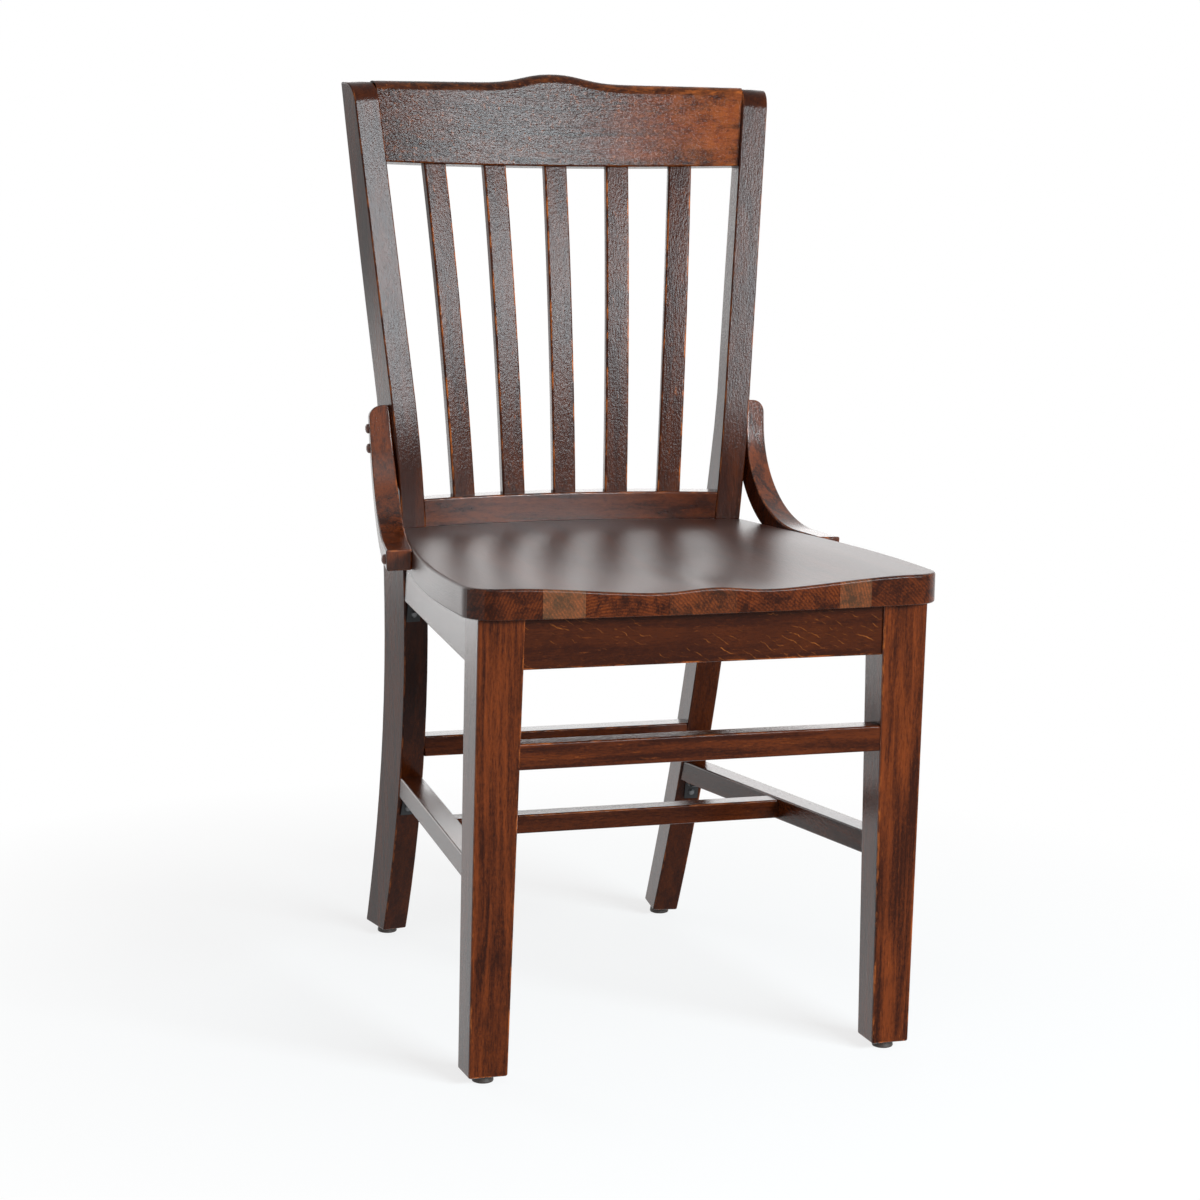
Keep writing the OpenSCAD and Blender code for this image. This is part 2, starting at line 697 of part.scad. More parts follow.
// side view of the strip: foot, bend and head, drawn from the foot's front end
head_dir = [sin(head_lean), cos(head_lean)];
function bend_arc(r) = [for (i = [0 : bend_steps]) let (a = (90 - head_lean) * i / bend_steps)
    [bracket_foot + r * sin(a), bracket_r - r * cos(a)]];
module bracket_profile() {
    inner = bend_arc(bracket_r);
    outer = bend_arc(bracket_r + bracket_th);
    top = bracket_head * head_dir;
    polygon(concat([[0, 0]], inner, [inner[bend_steps] + top, outer[bend_steps] + top],
        [for (i = [bend_steps : -1 : 0]) outer[i]], [[0, -bracket_th]]));
}
module bracket_blank() {
    difference() {
        bracket_place() translate([-bracket_w - bracket_spare, 0, 0]) rotate([90, 0, 90])
            linear_extrude(bracket_w + bracket_spare) bracket_profile();
        behind_post_outer();
        beside_seat();
        bracket_corner();
    }
}
// the space inside the straight part of the seat's side, and above it inside the strip's leaning face
module beside_seat() {
    seat_place() translate([seat_edge(bracket_y), bracket_y, 0]) rotate([0, 0, side_turn]) {
        translate([-reach, -reach, -reach]) cube([reach, 2 * reach, 2 * reach]);
        rotate([0, bracket_inner_lean, 0]) translate([-reach, -reach, 0]) cube([reach, 2 * reach, reach]);
    }
}
// rounds the outer top corner of the strip
module bracket_corner() {
    r = bracket_top_r;
    out = r + 2 * past;
    bracket_place() translate([0, bracket_foot, bracket_r]) rotate([-head_lean, 0, 0])
        translate([-r, bracket_r + bracket_th + spare / 2, bracket_head - r]) rotate([90, 0, 0])
            linear_extrude(bracket_th + spare) polygon(concat([[out, out], [out, 0]],
                [for (i = [0 : corner_steps]) let (a = 90 * i / corner_steps) [r * cos(a), r * sin(a)]],
                [[0, out]]));
}
module hip_bracket() {
    difference() {
        bracket_blank();
        for (p = concat(head_holes, [foot_hole])) bracket_place() bracket_screw(p, fit_gap, false);
    }
}
module left_hip_bracket() { color(walnut_light) chair() side(-1) hip_bracket(); }
module right_hip_bracket() { color(walnut_light) chair() hip_bracket(); }

// the domed head: its rim's height and the steps of its curve, and the two crossed slots in it
head_rim = 0.3;
dome_steps = 6;
slot_w = 1.2;
slot_l = 4.8;
slot_deep = 1.4;
function dome(d, h) = concat([[0, h], [0, 0]],
    [for (i = [1 : dome_steps]) let (a = 90 * i / dome_steps)
        [d / 2 * sin(a), h * (1 - head_rim) * (1 - cos(a))]],
    [[d / 2, h]]);
// p is the screw's place in the strip's side view; the screw points inwards from the outer face
module bracket_screw(p, grow = 0, head = true) {
    translate([0, p[0], p[1]]) rotate([0, -90, 0]) {
        translate([0, 0, -eps - grow]) cylinder(d = screw_d + 2 * grow, h = screw_l + 2 * grow);
        if (head) difference() {
            translate([0, 0, -screw_head_h]) rotate_extrude() polygon(dome(screw_head_d, screw_head_h));
            for (a = [0, 90]) translate([0, 0, slot_deep / 2 - screw_head_h]) rotate(a)
                cube([slot_w, slot_l, slot_deep + 2 * eps], center = true);
        }
    }
}
module hip_bracket_screws() {
    color(screw_brown) chair() for (s = [-1, 1]) side(s) bracket_place()
        for (p = concat(head_holes, [foot_hole])) bracket_screw(p);
}

// Corner blocks inside the aprons, each with one screw into the leg and one up into the seat
block_h = 24;
front_block_y = front_apron_y + apron_th;
// distances from the corner of the aprons to the near and far sloping faces of the front and back blocks
block_near = [41, 20];
block_far = [64, 42];
// k is 0 for a front block and 1 for a back one
function block_outline(k) = let (y0 = k == 0 ? front_block_y : back_apron_y, way = k == 0 ? 1 : -1,
    near = block_near[k], far = block_far[k], y_near = y0 + way * near, y_far = y0 + way * far)
    [[apron_inner(y_far), y_far], [apron_inner(y_near), y_near],
        [apron_inner(y_near) - near, y0], [apron_inner(y_far) - far, y0]];
// gap between a block's top and the seat, which the seat screw spans
block_gap = 5;
function block_z(k) = seat_under_at(k == 0 ? front_block_y + block_near[0] : back_apron_y)
    - block_h - block_gap;
function middle(p) = [for (i = [0, 1]) (p[0][i] + p[1][i] + p[2][i] + p[3][i]) / 4];
module block_place(k) {
    c = middle(block_outline(k));
    translate([c[0], c[1], block_z(k)]) rotate([0, 0, k == 0 ? -45 : 45]) children();
}
// horizontal screw: in the block's frame it points along +X, into the leg or the post
block_screw_l = 36;
small_head_d = 8;
small_head_h = 2.5;
// depth of the flat behind the block's middle, where the horizontal screw's head rests
block_flat = 12;
module block_screw(grow = 0, head = false) {
    translate([-block_flat, 0, block_h / 2]) rotate([0, 90, 0]) {
        cylinder(d = small_screw_d + 2 * grow, h = block_screw_l + grow);
        if (head) translate([0, 0, -small_head_h]) cylinder(d = small_head_d, h = small_head_h);
    }
}
// upright screw, beside the horizontal one, into the seat
seat_screw_l = 42;
// how far it stands to the side of the horizontal screw
seat_screw_side = 8;
module seat_screw(grow = 0, head = false) {
    translate([0, seat_screw_side, -eps]) {
        cylinder(d = small_screw_d + 2 * grow, h = seat_screw_l + grow);
        if (head) translate([0, 0, -small_head_h]) cylinder(d = small_head_d, h = small_head_h + eps);
    }
}
module corner_blocks() {
    color(birch) chair() for (s = [-1, 1]) side(s) for (k = [0, 1]) difference() {
        translate([0, 0, block_z(k)]) linear_extrude(block_h) polygon(block_outline(k));
        block_place(k) {
            block_screw(fit_gap);
            seat_screw(fit_gap);
            translate([-block_flat - block_far[0], -block_far[0], -spare])
                cube([block_far[0], 2 * block_far[0], block_h + 2 * spare]);
        }
    }
}
module corner_block_screws() {
    color(black_steel) chair() for (s = [-1, 1]) side(s) for (k = [0, 1]) block_place(k) block_screw(0, true);
}
module seat_screws() {
    color(black_steel) chair() for (s = [-1, 1]) side(s) for (k = [0, 1]) block_place(k) seat_screw(0, true);
}

// Metal corner brackets under the side aprons and side stretchers, at the posts
// k 0 is under the apron and k 1 under the stretcher; one leaf lies under the rail, the other on the post
angle_screw_d = 3.4;
angle_head_d = 6.6;
angle_head_h = 1.8;
angle_head_top_d = 5;
// places of the holes along each leaf, as shares of its length
angle_rail_hole = 0.6;
angle_post_hole = 0.62;
function angle_fall(k) = k == 0 ? seat_fall : side_str_fall;
function angle_x(k) = k == 0 ? apron_x1 - apron_th / 2 : str_x1 - side_str_w / 2;
// underside of the rail that the bracket is screwed to
function rail_under_at(k, y) = k == 0 ? side_z0 - (y - apron_y0) * seat_slope
    : side_str_z - side_str_h - (y - str_y0) * tan(side_str_fall);
function angle_z(k) = rail_under_at(k, k == 0 ? apron_y1 : str_y1);
function post_slope(z) = (post_y_at(z - angle_l) - post_y_at(z)) / angle_l;
module angle_place(k) {
    x = angle_x(k);
    y = post_y_at(angle_z(k)) + (post_out_at(angle_z(k)) - x) * tan(post_turn) - fit_gap;
    translate([x, y, rail_under_at(k, y) - fit_gap]) rotate([-angle_fall(k), 0, 0])
        rotate([0, 0, -post_turn]) children();
}
// how far the leaf on the post leans away from the other leaf's square, in degrees
function leaf_lean(k) = atan(post_slope(angle_z(k))) + angle_fall(k);
module angle_leaf_slope(k) { rotate([leaf_lean(k), 0, 0]) children(); }
// side view of the bracket, one strip bent at its upper back corner
function angle_outline(k) = let (c = cos(leaf_lean(k)), s = sin(leaf_lean(k)))
    [[0, 0], [-angle_l, 0], [-angle_l, -angle_th], [-angle_th * (1 - s) / c, -angle_th],
        [angle_l * s - angle_th * c, -angle_l * c - angle_th * s], [angle_l * s, -angle_l * c]];
module angle_bracket(k) {
    difference() {
        translate([-angle_w / 2, 0, 0]) rotate([90, 0, 90]) linear_extrude(angle_w) polygon(angle_outline(k));
        for (leaf = [0, 1]) angle_hole(k, leaf);
    }
}
module angle_hole(k, leaf) {
    if (leaf == 0) translate([0, -angle_l * angle_rail_hole, -angle_th - past])
        cylinder(d = angle_screw_d + 2 * fit_gap, h = angle_th + 2 * past);
    else angle_leaf_slope(k) translate([0, past, -angle_l * angle_post_hole]) rotate([90, 0, 0])
        cylinder(d = angle_screw_d + 2 * fit_gap, h = angle_th + 2 * past);
}
module wood_screw(length, grow, head) {
    cylinder(d = angle_screw_d + 2 * grow, h = length);
    if (head) translate([0, 0, -angle_head_h])
        cylinder(d1 = angle_head_top_d, d2 = angle_head_d, h = angle_head_h);
}
module angle_screw(k, leaf, grow = 0, head = false) {
    if (leaf == 0) translate([0, -angle_l * angle_rail_hole, -angle_th])
        wood_screw(angle_rail_screw_l, grow, head);
    else angle_leaf_slope(k) translate([0, -angle_th, -angle_l * angle_post_hole]) rotate([-90, 0, 0])
        wood_screw(angle_post_screw_l, grow, head);
}
module angle_pair(k) { color(black_steel) chair() for (s = [-1, 1]) side(s) angle_place(k) angle_bracket(k); }
module apron_angles() { angle_pair(0); }
module stretcher_angles() { angle_pair(1); }
module angle_screws() {
    color(black_steel) chair() for (s = [-1, 1]) side(s) for (k = [0, 1]) for (leaf = [0, 1])
        angle_place(k) angle_screw(k, leaf, 0, true);
}

// Dowels: each is centred on the joint that it holds; for a bore it grows by the clearance
module dowel(grow = 0) { cylinder(d = dowel_d + 2 * grow, h = dowel_l + 2 * grow, center = true); }
module along_x() { rotate([0, 90, 0]) children(); }
module along_y() { rotate([90, 0, 0]) children(); }
// places of the aprons' dowels, as shares of their height
apron_dowel_h = [0.27, 0.7];
apron_dowel_z = apron_h * apron_dowel_h;
// shifts of the joints that the back dowels are centred on, for the turn and the lean of the posts
back_dowel_shift = 2;
rail_dowel_shift = 1;
module front_apron_dowels(grow = 0) {
    for (h = apron_dowel_z) let (z = side_z0 + h)
        translate([leg_in(z), front_apron_y + apron_th / 2, z]) along_x() dowel(grow);
}
module back_apron_dowels(grow = 0) {
    for (h = apron_dowel_z) let (z = back_apron_z + h)
        translate([post_out_at(z) - post_th * cos(post_turn) + back_dowel_shift,
            back_apron_y + apron_th / 2, z]) along_x() dowel(grow);
}
// both ends of a side apron
module apron_dowel_set(grow = 0) {
    apron_place() for (h = apron_dowel_z) {
        translate([-apron_th / 2, 0, h]) along_y() dowel(grow);
        translate([-apron_th / 2, apron_len, h]) along_y() dowel(grow);
    }
}
module front_stretcher_dowel(grow = 0) {
    z = front_str_z - front_str_h / 2;
    translate([leg_in(z), front_str_y + front_str_th / 2, z]) along_x() dowel(grow);
}
module back_stretcher_dowel(grow = 0) {
    z = back_str_z - back_str_h / 2;
    translate([post_out_at(z) - post_th, back_str_y + back_str_th / 2, z]) along_x() dowel(grow);
}
module stretcher_dowel_set(grow = 0) {
    str_place() {
        translate([-side_str_w / 2, 0, side_str_h / 2]) along_y() dowel(grow);
        translate([-side_str_w / 2, str_len, side_str_h / 2]) along_y() dowel(grow);
    }
}
cross_dowel_l = 20;
module cross_dowel(grow = 0) {
    translate([str_inner(cross_mid_y), cross_mid_y, cross_z + cross_h / 2]) along_x()
        cylinder(d = dowel_d + 2 * grow, h = cross_dowel_l + 2 * grow, center = true);
}
// places of the crest rail's dowels, as shares of its height
crest_dowel_h = [0.25, 0.72];
module back_rail_dowel_set(grow = 0) {
    for (h = crest_dowel_h) crest_place()
        translate([crest_end + rail_dowel_shift, crest_th / 2 - crest_sag, crest_ends_h * h])
            along_x() dowel(grow);
    translate([rail_end + rail_dowel_shift, rail_end_y + rail_th / 2, rail_top - rail_h / 2])
        along_x() dowel(grow);
}
module apron_dowels() {
    color(birch) chair() for (s = [-1, 1]) side(s) {
        front_apron_dowels();
        back_apron_dowels();
        apron_dowel_set();
    }
}
module stretcher_dowels() {
    color(birch) chair() for (s = [-1, 1]) side(s) {
        front_stretcher_dowel();
        back_stretcher_dowel();
        stretcher_dowel_set();
        cross_dowel();
    }
}
module back_rail_dowels() { color(birch) chair() for (s = [-1, 1]) side(s) back_rail_dowel_set(); }

// Glides: moulded discs nailed under the feet
front_foot = [leg_out - leg_w_foot / 2, leg_set + leg_d_foot / 2, 0];
// the back glides sit a little outside and behind the middle of the half thickness, for the posts' turn
back_foot_shift = 2;
back_foot = [post_out_at(glide_h) - post_th / 2 + back_foot_shift,
    post_y_at(glide_h) + post_d_foot / 2 + back_foot_shift, 0];
nail_d = 3;
nail_head_d = 7;
nail_head_h = 1.4;
// height of the nail's head above the floor, and how far the nail goes up into the foot
nail_z = 3;
nail_up = 16;
// the glide's rounded lower edge, each point by how far in and how high it is, and its narrower top
glide_edge = [[1.5, 0], [0.4, 0.5], [0, 1.6]];
glide_top_in = 1;
module glide(place) {
    difference() {
        translate(place) rotate_extrude() polygon(concat([[0, 0]],
            [for (p = glide_edge) [glide_d / 2 - p[0], p[1]]],
            [[glide_d / 2 - glide_top_in, glide_h], [0, glide_h]]));
        translate(place) glide_nail(fit_gap);
    }
}
module glide_nail(grow = 0) {
    translate([0, 0, nail_z]) cylinder(d = nail_d + 2 * grow, h = glide_h - nail_z + nail_up + grow);
    translate([0, 0, nail_z - grow]) cylinder(d = nail_head_d + 2 * grow, h = nail_head_h + 2 * grow);
}
module glide_front_left() { color(glide_brown) chair() side(-1) glide(front_foot); }
module glide_front_right() { color(glide_brown) chair() glide(front_foot); }
module glide_back_left() { color(glide_brown) chair() side(-1) glide(back_foot); }
module glide_back_right() { color(glide_brown) chair() glide(back_foot); }
module glide_nails() {
    color(black_steel) chair() for (s = [-1, 1]) side(s) for (p = [front_foot, back_foot])
        translate(p) glide_nail();
}

seat();
left_front_leg();
right_front_leg();
left_back_post();
right_back_post();
crest_rail();
lower_back_rail();
slat_1();
slat_2();
slat_3();
slat_4();
slat_5();
front_apron();
back_apron();
left_apron();
right_apron();
front_stretcher();
back_stretcher();
left_stretcher();
right_stretcher();
cross_stretcher();
left_hip_bracket();
right_hip_bracket();
hip_bracket_screws();
corner_blocks();
corner_block_screws();
seat_screws();
apron_angles();
stretcher_angles();
angle_screws();
apron_dowels();
stretcher_dowels();
back_rail_dowels();
glide_front_left();
glide_front_right();
glide_back_left();
glide_back_right();
glide_nails();
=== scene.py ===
import math

import bmesh
import bpy
from mathutils import Matrix, Vector


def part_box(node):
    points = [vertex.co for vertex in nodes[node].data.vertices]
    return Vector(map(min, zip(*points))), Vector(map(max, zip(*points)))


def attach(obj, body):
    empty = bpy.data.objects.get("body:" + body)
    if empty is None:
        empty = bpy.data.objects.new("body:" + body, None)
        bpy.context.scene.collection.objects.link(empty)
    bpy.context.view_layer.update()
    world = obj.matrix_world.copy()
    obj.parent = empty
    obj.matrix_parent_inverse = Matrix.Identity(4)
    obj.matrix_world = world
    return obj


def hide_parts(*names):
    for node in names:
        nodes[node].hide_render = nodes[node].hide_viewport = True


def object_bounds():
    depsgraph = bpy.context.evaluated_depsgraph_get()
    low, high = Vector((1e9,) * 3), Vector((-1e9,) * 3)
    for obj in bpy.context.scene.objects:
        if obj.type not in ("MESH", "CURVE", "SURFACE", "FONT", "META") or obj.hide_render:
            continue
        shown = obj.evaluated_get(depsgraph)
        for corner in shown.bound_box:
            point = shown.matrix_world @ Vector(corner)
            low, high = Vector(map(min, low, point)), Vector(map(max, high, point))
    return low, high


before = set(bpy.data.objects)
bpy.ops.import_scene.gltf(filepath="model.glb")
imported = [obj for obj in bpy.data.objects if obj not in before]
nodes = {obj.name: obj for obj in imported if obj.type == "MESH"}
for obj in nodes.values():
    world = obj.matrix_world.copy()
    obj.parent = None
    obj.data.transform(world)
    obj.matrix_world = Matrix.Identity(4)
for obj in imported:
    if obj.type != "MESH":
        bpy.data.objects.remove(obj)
cad_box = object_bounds()


# Front legs: two square legs of solid beech, stained dark walnut and lacquered. They taper to the foot on
# their inner and back faces, and their edges are rounded over, where sanding lets the pale wood glow through.
LEG_EASE = 0.0022
STAIN_DARK = (0.021, 0.0038, 0.0011, 1)
STAIN_LIGHT = (0.182, 0.035, 0.0065, 1)
FLECK_DARK = (0.009, 0.002, 0.0008, 1)
RUBBED = (0.36, 0.088, 0.016, 1)
LACQUER_IOR = 1.2
SIDE_IOR = 1.5
GRAIN_DEEP = 0.0004
# the least share of its length at which a normal or an edge counts as pointing along an axis
POINTS_ALONG = 0.7
# faces that meet at less than this are shaded as one round
SHARP_EDGE = math.radians(38)
# a CAD mesh: how close points are merged, and how flat an edge has to be to be taken out
MERGE = 0.00002
FLAT_EDGE = math.radians(0.4)
# edges that are shorter or blunter than this stay as they are
SHORT_EDGE = 0.0015
BLUNT_EDGE = math.radians(30)
NEAR = 0.001


def add_node(tree, kind, inputs=(), **settings):
    """A shader node, with its settings made and its inputs either linked or given a value."""
    made = tree.nodes.new("ShaderNode" + kind)
    for key, value in settings.items():
        setattr(made, key, value)
    for key, value in dict(inputs).items():
        if isinstance(value, bpy.types.NodeSocket):
            tree.links.new(value, made.inputs[key])
        else:
            made.inputs[key].default_value = value
    return made


def new_finish(name):
    """A new material, its node tree, its shader and the object's own coordinates."""
    finish = bpy.data.materials.new(name)
    finish.use_nodes = True
    tree = finish.node_tree
    return finish, tree, tree.nodes["Principled BSDF"], add_node(tree, "TexCoord").outputs["Object"]


def reopen(finish):
    """A finish's node tree, its shader, the colour that goes into it and the object's own coordinates."""
    tree = finish.node_tree
    shell = tree.nodes["Principled BSDF"]
    colour = shell.inputs["Base Color"].links[0].from_socket
    return tree, shell, colour, add_node(tree, "TexCoord").outputs["Object"]


def mix(tree, share, low, high):
    """The colour between low and high, by share."""
    return add_node(tree, "Mix", {0: share, 6: low, 7: high}, data_type="RGBA").outputs[2]


def ramp(tree, value, low, high, to_low=0.0, to_high=1.0):
    """Value, spread from to_low where it is low to to_high where it is high."""
    made = add_node(tree, "MapRange", {"Value": value, "From Min": low, "From Max": high,
                                       "To Min": to_low, "To Max": to_high})
    return made.outputs["Result"]


def maths(tree, operation, a, b=0.0):
    """The result of an operation on one or two values."""
    return add_node(tree, "Math", {0: a, 1: b}, operation=operation).outputs[0]


def times(tree, a, b):
    """The product of two values."""
    return maths(tree, "MULTIPLY", a, b)


def noise(tree, place, scale, detail=3.0, roughness=0.5, distortion=0.0):
    """A noise pattern on the given coordinates."""
    made = add_node(tree, "TexNoise", {"Vector": place, "Scale": scale, "Detail": detail,
                                       "Roughness": roughness, "Distortion": distortion})
    return made.outputs["Fac"]


def grain(tree, place, along, scale, stretch, detail=3.0, roughness=0.5, distortion=0.0):
    """Noise that is drawn out along the grain."""
    squeeze = [1 / stretch if axis == along else 1.0 for axis in "xyz"]
    drawn_out = add_node(tree, "Mapping", {"Vector": place, "Scale": squeeze}).outputs["Vector"]
    return noise(tree, drawn_out, scale, detail, roughness, distortion)


def emboss(tree, height, strength, deep, normal):
    """Bumps the surface that takes its normal from the given input."""
    bump = add_node(tree, "Bump", {"Height": height, "Strength": strength, "Distance": deep})
    tree.links.new(bump.outputs["Normal"], normal)


def stained_beech(name, along, light=1.0, rub=1.0, ior=LACQUER_IOR, gloss=0.2, relief=0.3, clouds=0.4,
                  mottle=0.5, pores=560):
    """Lacquered beech: bands and streaks along the grain, speckles, rays, cloudy stain and rubbed edges."""
    finish, tree, shell, place = new_finish(name)
    bands = grain(tree, place, along, 66, 14, 3.0, 0.55, 0.8)
    streaks = grain(tree, place, along, 260, 50, 5.0, 0.66, 0.3)
    speckles = grain(tree, place, along, 480, 2.5, 4.0, 0.75)
    rays = grain(tree, place, along, 760, 8, 2.0, 0.55)
    glints = grain(tree, place, along, 330, 6, 4.0, 0.7)
    cloud = noise(tree, place, 24, 3.0, 0.55)
    fine = add_node(tree, "Mix", {0: mottle, 2: streaks, 3: speckles}, data_type="FLOAT").outputs[0]
    tone = maths(tree, "ADD", bands, fine)
    lit_stain = tuple(c * light for c in STAIN_LIGHT[:3]) + (1,)
    wood = mix(tree, ramp(tree, tone, 0.84, 1.14), STAIN_DARK, lit_stain)
    wood = mix(tree, times(tree, ramp(tree, rays, 0.52, 0.7), 0.5), wood, FLECK_DARK)
    wood = mix(tree, times(tree, ramp(tree, cloud, 0.42, 0.78), clouds), wood, STAIN_DARK)
    wood = mix(tree, times(tree, ramp(tree, glints, 0.62, 0.8), 0.35 * rub), wood, RUBBED)
    edge = add_node(tree, "Attribute", attribute_name="rub").outputs["Fac"]
    worn = times(tree, edge, ramp(tree, grain(tree, place, along, 150, 4, 4.0, 0.7), 0.48, 0.62))
    wood = mix(tree, times(tree, worn, 0.7 * rub), wood, RUBBED)
    tree.links.new(wood, shell.inputs["Base Color"])
    height = maths(tree, "ADD", fine, rays)
    emboss(tree, height, 0.25, GRAIN_DEEP, shell.inputs["Normal"])
    film = maths(tree, "ADD", height, noise(tree, place, pores, 3.0, 0.6))
    emboss(tree, film, relief, GRAIN_DEEP, shell.inputs["Coat Normal"])
    shell.inputs["Roughness"].default_value = 0.6
    shell.inputs["Specular IOR Level"].default_value = 0.0
    shell.inputs["Coat Weight"].default_value = 1.0
    shell.inputs["Coat Roughness"].default_value = gloss
    shell.inputs["Coat IOR"].default_value = ior
    return finish


def finish_piece(name, shape, finish, node_names):
    """Makes the bmesh an object that stands for the CAD nodes, with smooth rounds and flat faces.

    The finish is one material, or a tuple of two, whose second is for the faces that don't look forward or
    back, or a list of materials where each face already has the number of its own.
    """
    if isinstance(finish, tuple):
        for face in shape.faces:
            face.material_index = int(abs(face.normal.y) < POINTS_ALONG)
    mesh = bpy.data.meshes.new(name)
    shape.to_mesh(mesh)
    shape.free()
    piece = bpy.data.objects.new(name, mesh)
    bpy.context.scene.collection.objects.link(piece)
    for material in finish if isinstance(finish, (list, tuple)) else [finish]:
        mesh.materials.append(material)
    mesh.shade_smooth()
    mesh.set_sharp_from_angle(angle=SHARP_EDGE)
    weighted = piece.modifiers.new("flat faces", "WEIGHTED_NORMAL")
    weighted.keep_sharp = True
    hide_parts(*node_names)
    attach(piece, "root")


def mark_rubbed(shape, rounds):
    """Marks the middle of each rounded edge, where every face round a point is part of the round."""
    rounds = set(rounds)
    layer = shape.verts.layers.float.get("rub") or shape.verts.layers.float.new("rub")
    for vert in shape.verts:
        if vert.link_faces and all(face in rounds for face in vert.link_faces):
            vert[layer] = 1.0


def round_over(shape, edges, ease, segments):
    """Rounds the edges over, and returns the faces of the rounds."""
    return bmesh.ops.bevel(shape, geom=edges, offset=ease, offset_type="OFFSET", segments=segments,
                           profile=0.5, affect="EDGES", material=-1, clamp_overlap=False)["faces"]


def eased(node, along, ease, also=lambda edge: False):
    """A copy of a CAD node with the edges that run along the piece rounded over, and any that also picks."""
    shape = bmesh.new()
    shape.from_mesh(nodes[node].data)
    bmesh.ops.remove_doubles(shape, verts=shape.verts, dist=MERGE)
    bmesh.ops.dissolve_limit(shape, angle_limit=FLAT_EDGE, verts=shape.verts, edges=shape.edges)
    axis = "xyz".index(along)
    corners = []
    for edge in shape.edges:
        run = edge.verts[1].co - edge.verts[0].co
        if not edge.is_manifold or run.length < SHORT_EDGE or edge.calc_face_angle() < BLUNT_EDGE:
            continue
        if abs(run[axis]) > POINTS_ALONG * run.length or also(edge):
            corners.append(edge)
    mark_rubbed(shape, round_over(shape, corners, ease, 4))
    return shape


def lowest(edge):
    """Height of the edge's lower end."""
    return min(v.co.z for v in edge.verts)


def highest(edge):
    """Height of the edge's upper end."""
    return max(v.co.z for v in edge.verts)


leg_beech = (stained_beech("stained beech, legs", "z", light=0.62),
             stained_beech("stained beech, sides of the legs", "z", light=0.6, ior=SIDE_IOR, relief=0.45))
for hand in ("left", "right"):
    foot_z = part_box(hand + "_front_leg")[0].z
    leg = eased(hand + "_front_leg", "z", LEG_EASE, also=lambda edge: highest(edge) < foot_z + NEAR)
    finish_piece("front_leg_" + hand, leg, leg_beech, [hand + "_front_leg"])


# Back posts: each is one beech board, sawn to a curve that sweeps back at the foot and above the seat. They
# lean outwards, turn a little in plan, and end in a rounded top whose edges are eased like all the others.
POST_EASE = 0.0017
POST_TOP_RUN = 0.03
post_beech = [stained_beech("stained beech, posts", "z", light=0.26, rub=0.6, ior=1.215, relief=0.45),
              stained_beech("stained beech, sides of the posts", "z", light=0.5, rub=0.6, ior=1.25)]
for hand in ("left", "right"):
    low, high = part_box(hand + "_back_post")
    post = eased(hand + "_back_post", "z", POST_EASE,
                 also=lambda edge: lowest(edge) > high.z - POST_TOP_RUN or highest(edge) < low.z + NEAR)
    for face in post.faces:
        face.material_index = int(abs(face.normal.x) > POINTS_ALONG)
    finish_piece("back_post_" + hand, post, post_beech, [hand + "_back_post"])


# Aprons: four beech rails under the seat, dowelled into the legs and posts. Their long edges are eased, and
# the front one shows a lively flat-sawn figure.
APRON_EASE = 0.0022
GOLD = (0.42, 0.12, 0.02, 1)
SWEEP_TURN = (0, math.radians(62), 0)
crosswise_beech = (stained_beech("stained beech, crosswise grain", "x", light=0.42),
                   stained_beech("stained beech, tops of crosswise pieces", "x", light=0.42, ior=SIDE_IOR))
lengthwise_beech = stained_beech("stained beech, lengthwise grain", "y", light=0.4, rub=0.5, ior=1.4,
                                 relief=0.45)


def flat_sawn_beech(name):
    """Darker crosswise beech with thin golden lines that sweep down to the right."""
    finish = stained_beech(name, "x", light=0.25, mottle=0.75, clouds=0.7)
    tree, shell, plain, place = reopen(finish)
    turned = add_node(tree, "Mapping", {"Vector": place, "Rotation": SWEEP_TURN}).outputs["Vector"]
    sweep = add_node(tree, "TexWave", {"Vector": turned, "Scale": 44.0, "Distortion": 4.5, "Detail": 2.0,
                                       "Detail Scale": 1.6, "Detail Roughness": 0.55}, wave_type="BANDS")
    lines = ramp(tree, sweep.outputs["Fac"], 0.95, 1.0)
    patches = times(tree, ramp(tree, noise(tree, place, 30, 4.0, 0.65), 0.48, 0.68),
                    ramp(tree, grain(tree, turned, "z", 420, 5), 0.44, 0.6))
    shade = mix(tree, times(tree, times(tree, lines, patches), 0.6), plain, GOLD)
    tree.links.new(shade, shell.inputs["Base Color"])
    return finish


for side_name, along, finish in (("front", "x", flat_sawn_beech("stained beech, flat sawn")),
                                 ("back", "x", crosswise_beech),
                                 ("left", "y", lengthwise_beech), ("right", "y", lengthwise_beech)):
    apron = eased(side_name + "_apron", along, APRON_EASE)
    finish_piece("apron_" + side_name, apron, finish, [side_name + "_apron"])


# Stretchers: thin beech rails between the legs, four round the chair and one across between the side ones,
# with all long edges eased.
STRETCHER_EASE = 0.0018
for side_name, along, finish in (("front", "x", crosswise_beech), ("back", "x", crosswise_beech),
                                 ("cross", "x", crosswise_beech),
                                 ("left", "y", lengthwise_beech), ("right", "y", lengthwise_beech)):
    stretcher = eased(side_name + "_stretcher", along, STRETCHER_EASE)
    finish_piece("stretcher_" + side_name, stretcher, finish, [side_name + "_stretcher"])


# Corner blocks: four unstained birch blocks inside the aprons, sawn square and left sharp. Zinc-plated screws
# hold them to the legs and posts, and the seat to them.
BIRCH_DARK = (0.42, 0.24, 0.11, 1)
BIRCH_LIGHT = (0.66, 0.45, 0.25, 1)
DIRT = 0.55
GRIT_DEEP = 0.0002


